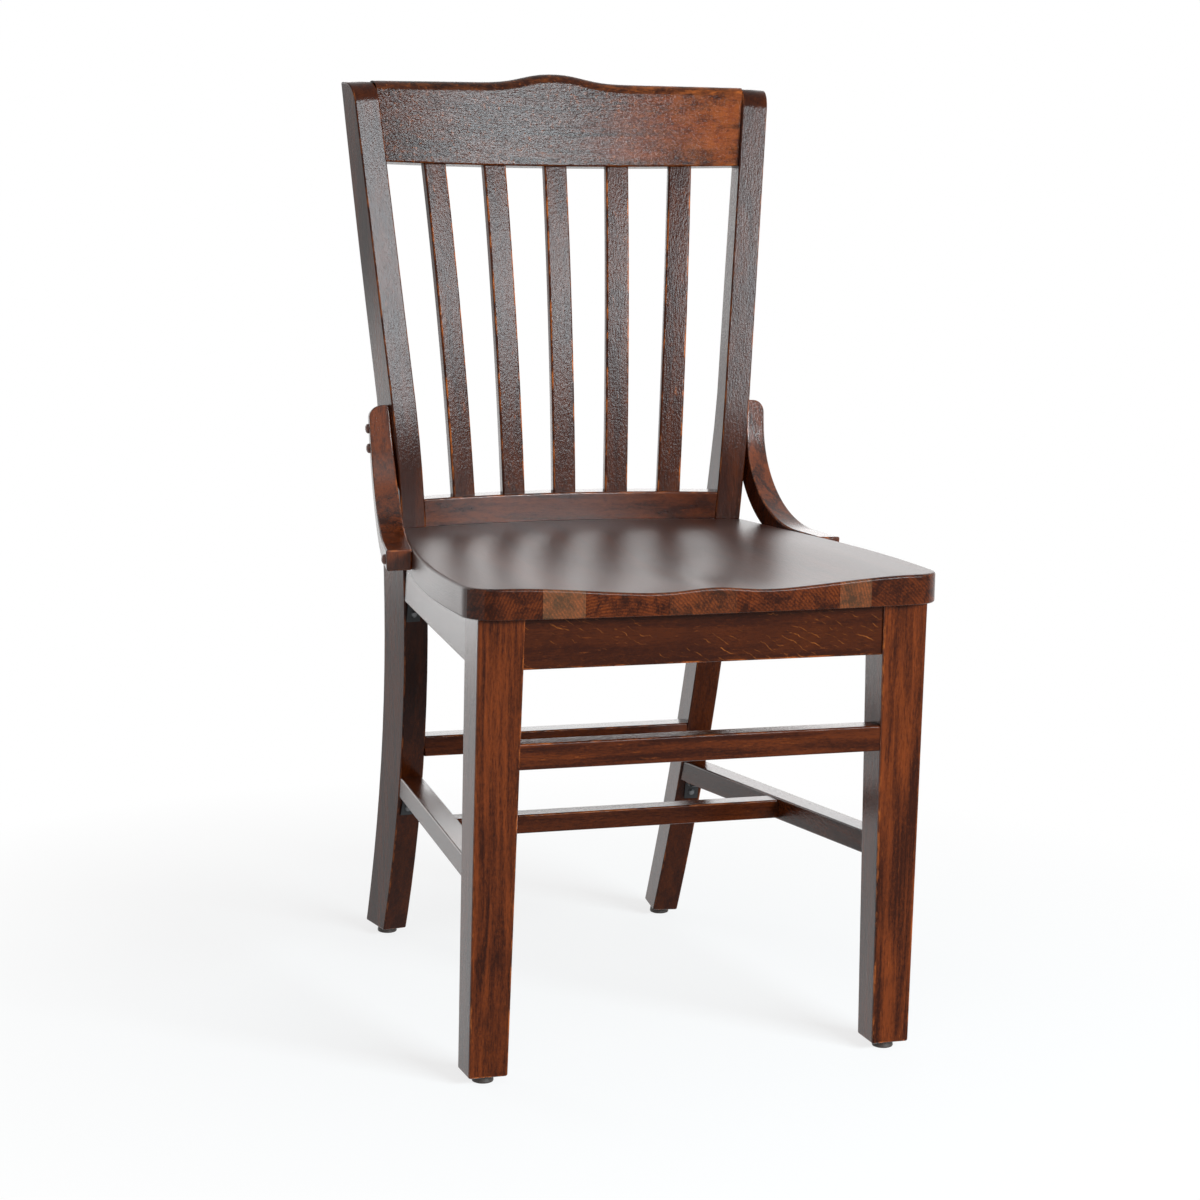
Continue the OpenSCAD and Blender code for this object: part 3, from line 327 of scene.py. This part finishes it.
def bare_birch(name, along):
    """Pale unfinished birch with fine straight grain."""
    finish, tree, shell, place = new_finish(name)
    streaks = grain(tree, place, along, 260, 20, 5.0, 0.6)
    wood = mix(tree, ramp(tree, streaks, 0.3, 0.72), BIRCH_DARK, BIRCH_LIGHT)
    tree.links.new(wood, shell.inputs["Base Color"])
    emboss(tree, streaks, 0.25, GRAIN_DEEP, shell.inputs["Normal"])
    shell.inputs["Roughness"].default_value = 0.72
    return finish


def painted(name, colour, roughness, metallic, grit):
    """Metal, paint or plastic with a fine uneven surface and a little dirt in its colour."""
    finish, tree, shell, place = new_finish(name)
    patches = noise(tree, place, grit, 4.0, 0.6)
    dirty = tuple(c * DIRT for c in colour) + (1,)
    shade = mix(tree, ramp(tree, patches, 0.35, 0.7), dirty, tuple(colour) + (1,))
    tree.links.new(shade, shell.inputs["Base Color"])
    rough = ramp(tree, patches, 0.0, 1.0, roughness * 0.8, roughness * 1.2)
    tree.links.new(rough, shell.inputs["Roughness"])
    emboss(tree, patches, 0.2, GRIT_DEEP, shell.inputs["Normal"])
    shell.inputs["Metallic"].default_value = metallic
    return finish


def dress(material, *node_names):
    """Gives the material to CAD nodes that are shown as they are."""
    for name in node_names:
        nodes[name].data.materials.clear()
        nodes[name].data.materials.append(material)


zinc = painted("zinc-plated steel", (0.55, 0.55, 0.57), 0.35, 1.0, 900)
dress(bare_birch("bare birch", "y"), "corner_blocks")
dress(zinc, "corner_block_screws", "seat_screws")


# Seat: a beech board glued up from staves that run from front to back, hollowed into two shallow scoops with
# a low ridge between them. Its front corners are round, and a tongue at the back runs between the posts.
SEAT_HALF = 0.227
SEAT_TOP = 0.457
SEAT_THICK = 0.028
SEAT_FALL = math.radians(1.45)
SEAT_RUN = 0.396
SIDE_TAPER = 0.0465
CURVE_START = 0.062
STRAIGHT_START = 0.254
FRONT_BOW = 0.007
CORNER_R = 0.028
TONGUE_HALF = 0.151
TONGUE_START = SEAT_RUN + 0.0026
TONGUE_END = 0.4432
# how many steps the front edge's half, a round corner, a side and the tongue's half are made in
FRONT_STEPS = 30
CORNER_STEPS = 12
SIDE_STEPS = 48
TONGUE_STEPS = 12
SADDLE_SHARE = 0.85
SADDLE_FRONT = 0.0093
SADDLE_DEEP = 0.0123
SADDLE_LOW = 0.200
SADDLE_RISE = 0.185
RIDGE_HIGH = 0.0053
RIDGE_HALF = 0.038
RIDGE_RUN = 0.110
RIM_EASE = 0.0026
BOTTOM_EASE = 0.0018
SEAT_RINGS = 46
RINGS_MIDDLE = Vector((0, 0.2, 0))
LEVEL = 0.0001
SEAT_IOR = 1.5
# where each stave ends, from the left, and how light it is; the last one runs to the right-hand edge
STAVES = (-0.162, -0.124, -0.045, 0.018, 0.120, 0.152)
STAVE_LIGHTS = (0.4, 1.0, 0.65, 0.75, 0.55, 0.9, 0.35)
JOINT_HALF = 0.0006
JOINT_CORE = 0.0002
TAN = (0.55, 0.33, 0.17, 1)
# the year rings of each stave have their middle at this height, below the board, and up to so far aside
YEARS_HIGH = 0.33
YEARS_ASIDE = 0.3
curve_run = STRAIGHT_START - CURVE_START
curve_rate = SIDE_TAPER / (curve_run ** 2 + 2 * curve_run * (SEAT_RUN - STRAIGHT_START))


def seat_edge(y):
    """Half the seat's width at a distance y behind its front edge."""
    if y < CURVE_START:
        return SEAT_HALF
    if y < STRAIGHT_START:
        return SEAT_HALF - curve_rate * (y - CURVE_START) ** 2
    return SEAT_HALF - curve_rate * curve_run ** 2 - 2 * curve_rate * curve_run * (y - STRAIGHT_START)


def saddle(x, y):
    """Depth of the hollow below the seat's flat top."""
    t = abs(x) / (SADDLE_SHARE * seat_edge(y))
    across = (1 - t * t) ** 2 if t < 1 else 0.0
    if y < SADDLE_LOW:
        deeper = (SADDLE_DEEP - SADDLE_FRONT) * math.sin(math.pi / 2 * max(0.0, y) / SADDLE_LOW)
        along = SADDLE_FRONT + deeper
    else:
        along = SADDLE_DEEP * math.cos(math.pi / 2 * min(1.0, (y - SADDLE_LOW) / SADDLE_RISE)) ** 2
    ridge = RIDGE_HIGH * math.exp(-(x / RIDGE_HALF) ** 2) * math.exp(-(max(0.0, y) / RIDGE_RUN) ** 2)
    return max(0.0, across * along - ridge)


def thicken(shape, faces, way):
    """Extrudes the faces along way, and turns all faces outwards."""
    made = bmesh.ops.extrude_face_region(shape, geom=faces)
    moved = [item for item in made["geom"] if isinstance(item, bmesh.types.BMVert)]
    bmesh.ops.translate(shape, verts=moved, vec=way)
    bmesh.ops.recalc_face_normals(shape, faces=shape.faces)


def level_edges(shape, z):
    """The edges of the seat at height z, without those of the tongue."""
    return [edge for edge in shape.edges if all(abs(v.co.z - z) < LEVEL for v in edge.verts)
            and max(v.co.y for v in edge.verts) < SEAT_RUN]


corner_x = SEAT_HALF - CORNER_R
corner_y = FRONT_BOW + CORNER_R
outline = [(corner_x * i / FRONT_STEPS, FRONT_BOW * (i / FRONT_STEPS) ** 2) for i in range(FRONT_STEPS + 1)]
for i in range(1, CORNER_STEPS + 1):
    turn = math.pi / 2 * i / CORNER_STEPS
    outline.append((corner_x + CORNER_R * math.sin(turn), corner_y - CORNER_R * math.cos(turn)))
for i in range(1, SIDE_STEPS + 1):
    y = corner_y + (SEAT_RUN - NEAR - corner_y) * i / SIDE_STEPS
    outline.append((seat_edge(y), y))
outline += [(TONGUE_HALF, TONGUE_START), (TONGUE_HALF, TONGUE_END)]
outline += [(TONGUE_HALF * (1 - i / TONGUE_STEPS), TONGUE_END) for i in range(1, TONGUE_STEPS + 1)]
outline += [(-x, y) for x, y in reversed(outline[1:-1])]

seat = bmesh.new()
thicken(seat, [seat.faces.new([seat.verts.new((x, y, 0)) for x, y in outline])], (0, 0, -SEAT_THICK))
rim_rounds = round_over(seat, level_edges(seat, 0), RIM_EASE, 5)
bottom_rounds = round_over(seat, level_edges(seat, -SEAT_THICK), BOTTOM_EASE, 3)
mark_rubbed(seat, rim_rounds)
mark_rubbed(seat, bottom_rounds)
top = max(seat.faces, key=lambda face: (round(face.calc_center_median().z, 6), face.calc_area()))
for ring in range(SEAT_RINGS):
    shrink = (1 - (ring + 1) / (SEAT_RINGS + 1)) / (1 - ring / (SEAT_RINGS + 1))
    top = bmesh.ops.extrude_discrete_faces(seat, faces=[top])["faces"][0]
    bmesh.ops.scale(seat, verts=top.verts, vec=(shrink, shrink, 1), space=Matrix.Translation(-RINGS_MIDDLE))
for vert in seat.verts:
    if vert.co.z > -0.5 * SEAT_THICK:
        vert.co.z -= saddle(vert.co.x, vert.co.y)
seat_front = cad_box[0].y + SEAT_THICK * math.sin(SEAT_FALL)
seat_place = Matrix.Translation((0, seat_front, SEAT_TOP)) @ Matrix.Rotation(-SEAT_FALL, 4, "X")
bmesh.ops.transform(seat, matrix=seat_place, verts=seat.verts)


def seat_beech(name, end_grain, ior=SEAT_IOR):
    """Lacquered beech staves side by side, as long grain or, on the front edge, as curved end grain."""
    if end_grain:
        finish = stained_beech(name, "y", light=0.8, rub=0.3, ior=ior, mottle=0.9, clouds=0.2)
    else:
        finish = stained_beech(name, "y", light=0.3, rub=0.3, ior=ior, gloss=0.345, relief=0.4, mottle=0.25)
    tree, shell, plain, place = reopen(finish)
    across = add_node(tree, "SeparateXYZ", {0: place}).outputs[0]
    steps = add_node(tree, "ValToRGB", {"Fac": ramp(tree, across, -SEAT_HALF, SEAT_HALF)})
    tones = steps.color_ramp
    tones.interpolation = "CONSTANT"
    tones.elements[0].color = (STAVE_LIGHTS[0],) * 3 + (1,)
    tones.elements[1].color = (STAVE_LIGHTS[-1],) * 3 + (1,)
    for x, lightness in zip(STAVES, STAVE_LIGHTS[1:]):
        tones.elements.new((x + SEAT_HALF) / (2 * SEAT_HALF)).color = (lightness,) * 3 + (1,)
    tone = steps.outputs["Color"]
    shade = mix(tree, ramp(tree, tone, 1.0, -0.3), plain, STAIN_DARK)
    joint = 0.0
    for x in STAVES:
        away = maths(tree, "ABSOLUTE", maths(tree, "ADD", across, -x))
        joint = maths(tree, "MAXIMUM", joint, ramp(tree, away, JOINT_HALF, JOINT_CORE))
    shade = mix(tree, times(tree, joint, 0.45), shade, FLECK_DARK)
    if end_grain:
        up = add_node(tree, "SeparateXYZ", {0: place}).outputs[2]
        aside = ramp(tree, tone, 0.0, 1.0, -YEARS_ASIDE, YEARS_ASIDE)
        moved = add_node(tree, "CombineXYZ", {0: maths(tree, "ADD", across, aside),
                                              2: maths(tree, "ADD", up, -YEARS_HIGH)}).outputs[0]
        years = add_node(tree, "TexWave", {"Vector": moved, "Scale": 110.0, "Distortion": 2.2, "Detail": 3.0,
                                           "Detail Scale": 2.5}, wave_type="RINGS", rings_direction="Y")
        shade = mix(tree, times(tree, years.outputs["Fac"], 0.48), shade, FLECK_DARK)
        shade = mix(tree, times(tree, ramp(tree, tone, 0.7, 1.0), 0.07), shade, TAN)
    tree.links.new(shade, shell.inputs["Base Color"])
    return finish


# the round corners turn from the front edge's finish to the sides' in two steps
for face in seat.faces:
    face.material_index = 1 if face.normal.y < -0.85 else 2 if face.normal.y < -0.4 else 0
seat_finishes = [seat_beech("stained beech, seat staves", False),
                 seat_beech("stained beech, seat end grain", True, 1.2),
                 seat_beech("stained beech, seat corners", True, 1.3)]
finish_piece("seat_board", seat, seat_finishes, ["seat"])


# Crest rail and lower back rail: both are bent in plan to the sitter's back and dowelled between the posts.
# The crest rises to a low hump with a broad round-over, and shows the finest mottled figure of the chair.
POST_OUT = 0.1785
POST_THICK = 0.026
POST_LEAN = math.radians(4.04)
POST_TURN = math.radians(8.5)
POST_RAKE = 0.172
POST_WAIST = 0.013
POST_BEND = 0.110
# how far the post's own origin lies above the rear end of the seat's top
POST_UP = 0.004
CREST_TOP = 0.889
CREST_HIGH = 0.088
CREST_THICK = 0.022
CREST_SET = 0.005
CREST_R = 0.730
HUMP_HIGH = 0.009
HUMP_HALF = 0.040
HUMP_POWER = 2.4
CROWN = 0.004
CREST_EASE = 0.002
CREST_TOP_EASE = 0.0105
CREST_SHOULDER = 0.0008
RAIL_HIGH = 0.0275
RAIL_THICK = 0.022
RAIL_SET = 0.0005
RAIL_R = 0.610
RAIL_GAP = 0.0002
RAIL_EASE = 0.002
BOARD_STEPS = 96
SQUARE_EDGE = math.radians(60)
CUT_NEAR = 0.000001
# how far a board runs past the posts and the seat before it is cut to fit
SPARE = 0.02
rail_low = SEAT_TOP - math.tan(SEAT_FALL) * SEAT_RUN
post_ref = rail_low + POST_UP
post_place = Matrix.Translation((POST_OUT, seat_front + SEAT_RUN, post_ref))
post_place = post_place @ Matrix.Rotation(POST_LEAN, 4, "Y") @ Matrix.Rotation(-POST_TURN, 4, "Z")


def post_inner_front(z):
    """A back post's inner front corner at height z: its x, and how far it is behind the seat's front."""
    above = (z - post_ref) / math.cos(POST_LEAN) - POST_WAIST
    if above < POST_BEND:
        back = POST_RAKE * above ** 2 / (2 * POST_BEND)
    else:
        back = POST_RAKE * (above - POST_BEND / 2)
    x = POST_OUT + math.sin(POST_TURN) * back + math.tan(POST_LEAN) * (z - post_ref) - POST_THICK
    return x, SEAT_RUN + math.cos(POST_TURN) * back + POST_THICK * math.sin(POST_TURN)


def sag(x, radius):
    """How far an arc of that radius falls back at a distance x from its middle."""
    return radius - math.sqrt(radius * radius - x * x)


def trim(board, spot, way):
    """Cuts away what lies beyond the plane through spot, and closes the cut."""
    cut = bmesh.ops.bisect_plane(board, geom=board.verts[:] + board.edges[:] + board.faces[:], dist=CUT_NEAR,
                                 plane_co=spot, plane_no=way, clear_outer=True)
    open_edges = [item for item in cut["geom_cut"] if isinstance(item, bmesh.types.BMEdge)]
    bmesh.ops.edgeloop_fill(board, edges=open_edges)


def bent_board(half, top_line, thick, radius, ease, top_ease, shoulder, place):
    """A board bent in plan, with a top edge of its own line, rounded edges and ends cut to fit the posts."""
    board = bmesh.new()
    bmesh.ops.create_grid(board, x_segments=BOARD_STEPS, y_segments=1, size=1)
    for vert in board.verts:
        x = vert.co.x * half
        vert.co = (x, 0, (vert.co.y + 1) / 2 * top_line(x))
    thicken(board, board.faces[:], (0, thick, 0))
    long_edges = [edge for edge in board.edges if abs(edge.verts[0].co.x - edge.verts[1].co.x) > NEAR
                  and edge.calc_face_angle() > SQUARE_EDGE]
    lower = [edge for edge in long_edges if edge.verts[0].co.z < NEAR]
    upper = [edge for edge in long_edges if edge.verts[0].co.z > NEAR]
    rounds = round_over(board, lower, ease, 4)
    rounds += round_over(board, upper, top_ease, 8)
    mark_rubbed(board, [face for face in rounds if face.is_valid])
    # the shoulder draws the top round in a little more than a plain round does
    for vert in board.verts:
        up_round = (vert.co.z - top_line(vert.co.x) + top_ease) / top_ease
        if up_round > 0.01:
            vert.co.y += math.copysign(shoulder * (1 - up_round), thick / 2 - vert.co.y)
    for vert in board.verts:
        vert.co.y = math.sqrt((radius + vert.co.y) ** 2 - vert.co.x ** 2) - radius
    bmesh.ops.transform(board, matrix=place, verts=board.verts)
    spot = post_place @ Vector((-POST_THICK, 0, 0))
    way = post_place.to_3x3() @ Vector((1, 0, 0))
    for hand in (-1, 1):
        trim(board, (hand * spot.x, spot.y, spot.z), (hand * way.x, way.y, way.z))
    return board


crest_low = CREST_TOP - CREST_HIGH
crest_end, crest_end_y = post_inner_front(crest_low)
crest_sag = sag(crest_end, CREST_R)
rake = math.atan(POST_RAKE)
crest_ends_high = CREST_HIGH / math.cos(rake) + crest_sag * math.tan(rake) - HUMP_HIGH - CROWN
crest_place = Matrix.Translation((0, seat_front + crest_end_y + CREST_SET, crest_low))
crest_place = crest_place @ Matrix.Rotation(-rake, 4, "X") @ Matrix.Translation((0, crest_sag, 0))


def crest_line(x):
    """Height of the crest's top edge above its bottom edge."""
    hump = HUMP_HIGH * math.exp(-(abs(x) / HUMP_HALF) ** HUMP_POWER)
    return crest_ends_high + CROWN * (1 - (x / crest_end) ** 2) + hump


def mottled_beech(name):
    """Mottled beech with many flecks, painted lighter and more orange towards the right-hand end where the
    light falls on it, and darker elsewhere as painted shade.
    """
    finish = stained_beech(name, "x", light=0.8, ior=1.235, gloss=0.13, relief=0.65, clouds=0.15,
                           mottle=0.9, pores=350)
    tree, shell, bright, place = reopen(finish)
    across = add_node(tree, "SeparateXYZ", {0: place}).outputs[0]
    # painted shade: darker in the middle and the left, fading out towards the right-hand end
    shade = mix(tree, ramp(tree, across, 0.16, 0.02, 0.0, 0.75), bright, FLECK_DARK)
    # painted light: orange patches that brighten the right-hand end
    patches = ramp(tree, noise(tree, place, 70, 5.0, 0.7), 0.4, 0.62)
    painted_light_glow = times(tree, ramp(tree, across, 0.05, 0.16), patches)
    shade = mix(tree, times(tree, painted_light_glow, 0.3), shade, RUBBED)
    flecks = ramp(tree, noise(tree, place, 230, 4.0, 0.75), 0.56, 0.7)
    shade = mix(tree, times(tree, flecks, 0.35), shade, RUBBED)
    tree.links.new(shade, shell.inputs["Base Color"])
    return finish


crest = bent_board(crest_end + SPARE, crest_line, CREST_THICK, CREST_R, CREST_EASE, CREST_TOP_EASE,
                   CREST_SHOULDER, crest_place)
finish_piece("back_crest", crest, mottled_beech("stained beech, crest"), ["crest_rail"])

rail_beech = stained_beech("stained beech, lower rail", "x", light=0.42, rub=0.6, ior=1.35)
rail_end, rail_end_y = post_inner_front(rail_low + RAIL_HIGH)
rail_y = seat_front + rail_end_y + RAIL_SET + sag(rail_end, RAIL_R)
low_rail = bent_board(rail_end + SPARE, lambda x: RAIL_HIGH + SPARE, RAIL_THICK, RAIL_R, RAIL_EASE, RAIL_EASE,
                      0, Matrix.Translation((0, rail_y, rail_low - SPARE)))
trim(low_rail, (0, seat_front, SEAT_TOP + RAIL_GAP), (0, -math.sin(SEAT_FALL), -math.cos(SEAT_FALL)))
finish_piece("back_low_rail", low_rail, rail_beech, ["lower_back_rail"])


# Slats: five thin slats of stained beech, bowed forward and fanned out towards the crest. They are let into
# both rails, and all their long edges are eased.
SLAT_EASE = 0.0022
slat_beech = (stained_beech("stained beech, slats", "z", light=0.28, rub=1.5, ior=1.21, relief=0.6,
                            mottle=0.7, pores=380),
              stained_beech("stained beech, sides of the slats", "z", light=0.6, rub=0.6, ior=1.4))
for k in range(5):
    slat = eased("slat_%d" % (k + 1), "z", SLAT_EASE)
    finish_piece("back_slat_%d" % (k + 1), slat, slat_beech, ["slat_%d" % (k + 1)])


# Hip brackets: bentwood strips that run down the outside of the posts and forward along the seat's edge,
# stained like the rest, with all but the shortest edges eased. Three painted screws hold each one.
BRACKET_EASE = 0.0018
SHORT_STRIP_EDGE = 0.002
bracket_beech = stained_beech("stained beech, bent strips", "z", light=0.6, rub=0.7, ior=1.42, clouds=0.0)
for hand in ("left", "right"):
    strip = eased(hand + "_hip_bracket", "y", BRACKET_EASE,
                  also=lambda edge: edge.calc_length() > SHORT_STRIP_EDGE)
    finish_piece("hip_strip_" + hand, strip, bracket_beech, [hand + "_hip_bracket"])
dress(painted("brown screw paint", (0.17, 0.05, 0.026), 0.34, 0.0, 700), "hip_bracket_screws")


# Metal corner brackets: small black steel angles under the side aprons and stretchers, at the back posts.
# Their screws are of a slightly paler steel. All are the solids themselves.
dress(painted("black steel", (0.02, 0.02, 0.022), 0.42, 0.4, 800), "apron_angles", "stretcher_angles")
dress(painted("dark steel screws", (0.16, 0.16, 0.165), 0.36, 0.7, 800), "angle_screws")


# Dowels: bare birch pins hidden in the joints of the aprons, the stretchers and the two back rails. They are
# the solids themselves.
dress(bare_birch("bare birch, dowels", "x"), "apron_dowels", "stretcher_dowels", "back_rail_dowels")


# Glides: dark brown moulded discs under the feet, a little scuffed, each held by a steel nail. They are the
# solids themselves.
dress(painted("brown moulded plastic", (0.03, 0.018, 0.012), 0.5, 0.0, 600),
      "glide_front_left", "glide_front_right", "glide_back_left", "glide_back_right")
dress(zinc, "glide_nails")


# Floor and light: a pale floor under a white surround. A large, cool soft box stands to the right of the
# camera and a weak one high in front, and three behind the chair whiten the glossy faces that mirror them.
FLOOR_HALF = 12
# away from the chair the floor fades into the white surround for the camera and for reflections
FADE_START = 0.3
FADE_END = 0.9
FADE_NEAR = 0.78
SURROUND_LIGHT = 0.12


def looked_at(tree):
    """1 where the camera looks, also by a reflection or through a surface, and 0 for the light on things."""
    path = add_node(tree, "LightPath").outputs
    seen = maths(tree, "MAXIMUM", path["Is Camera Ray"], path["Is Glossy Ray"])
    return maths(tree, "MAXIMUM", seen, path["Is Transmission Ray"])


def soft_box(name, place, target, size, watts, colour=(1, 1, 1)):
    """A rectangular area lamp at place that shines on target."""
    lamp = bpy.data.lights.new(name, "AREA")
    lamp.color = colour
    lamp.shape = "RECTANGLE"
    lamp.size, lamp.size_y = size
    lamp.energy = watts
    made = bpy.data.objects.new(name, lamp)
    made.location = place
    made.rotation_euler = (Vector(target) - Vector(place)).to_track_quat("-Z", "Y").to_euler()
    bpy.context.scene.collection.objects.link(made)


floor_shape = bmesh.new()
bmesh.ops.create_grid(floor_shape, x_segments=1, y_segments=1, size=FLOOR_HALF)
floor_mesh = bpy.data.meshes.new("floor")
floor_shape.to_mesh(floor_mesh)
floor_shape.free()
floor = bpy.data.objects.new("floor", floor_mesh)
bpy.context.scene.collection.objects.link(floor)
pale, tree, matt, place = new_finish("pale floor")
matt.inputs["Base Color"].default_value = (0.86, 0.86, 0.86, 1)
matt.inputs["Roughness"].default_value = 0.8
matt.inputs["Specular IOR Level"].default_value = 0.1
away = add_node(tree, "VectorMath", {0: place}, operation="LENGTH").outputs["Value"]
fade = times(tree, ramp(tree, away, FADE_START, FADE_END, FADE_NEAR, 1.0), looked_at(tree))
white = add_node(tree, "Emission", {"Color": (1, 1, 1, 1), "Strength": 1.0})
blend = add_node(tree, "MixShader", {0: fade, 1: matt.outputs["BSDF"], 2: white.outputs["Emission"]})
tree.links.new(blend.outputs["Shader"], tree.nodes["Material Output"].inputs["Surface"])
floor_mesh.materials.append(pale)

soft_box("front soft box", (1.52, -3.12, 1.66), (0, 0, 0.7), (2.1, 0.8), 262, (0.84, 0.95, 1.0))
soft_box("front top soft box", (-0.75, -1.9, 3.0), (0, 0, 0.6), (1.5, 1.5), 9)
soft_box("low soft box, back left", (-0.85, 1.75, 0.19), (-0.2, 0, 0.19), (1.0, 0.38), 2.4)
soft_box("back soft box, left", (-1.9, 2.8, 1.4), (0, 0, 0.5), (1.6, 1.4), 14)
soft_box("back soft box, right", (1.27, 2.72, 0.95), (0, 0, 0.45), (2.4, 1.2), 13.5)
world = bpy.data.worlds.new("white surround")
bpy.context.scene.world = world
world.use_nodes = True
sky = world.node_tree
backdrop = sky.nodes["Background"]
level = ramp(sky, looked_at(sky), 0.0, 1.0, SURROUND_LIGHT, 1.0)
sky.links.new(level, backdrop.inputs["Strength"])
backdrop.inputs["Color"].default_value = (1, 1, 1, 1)
bpy.context.scene.view_settings.view_transform = "Standard"

# Camera: in front of the chair, a little to its left and above the seat, where the photograph was taken. Its
# place and lens come from the camera that was fitted to the chair's corners.
CAMERA_PLACE = (-1.06415, -2.97093, 0.97477)
CAMERA_YAW = math.radians(20.60)
CAMERA_PITCH = math.radians(-10.51)
CAMERA_ROLL = math.radians(1.79)
lens = bpy.data.cameras.new("camera")
lens.sensor_width = 36
lens.lens = 99.33
lens.shift_x = -0.0535
lens.shift_y = 0.0033
camera = bpy.data.objects.new("camera", lens)
camera.matrix_world = (Matrix.Translation(CAMERA_PLACE) @ Matrix.Rotation(-CAMERA_YAW, 4, "Z")
                       @ Matrix.Rotation(math.pi / 2 + CAMERA_PITCH, 4, "X")
                       @ Matrix.Rotation(CAMERA_ROLL, 4, "Z"))
bpy.context.scene.collection.objects.link(camera)
bpy.context.scene.camera = camera
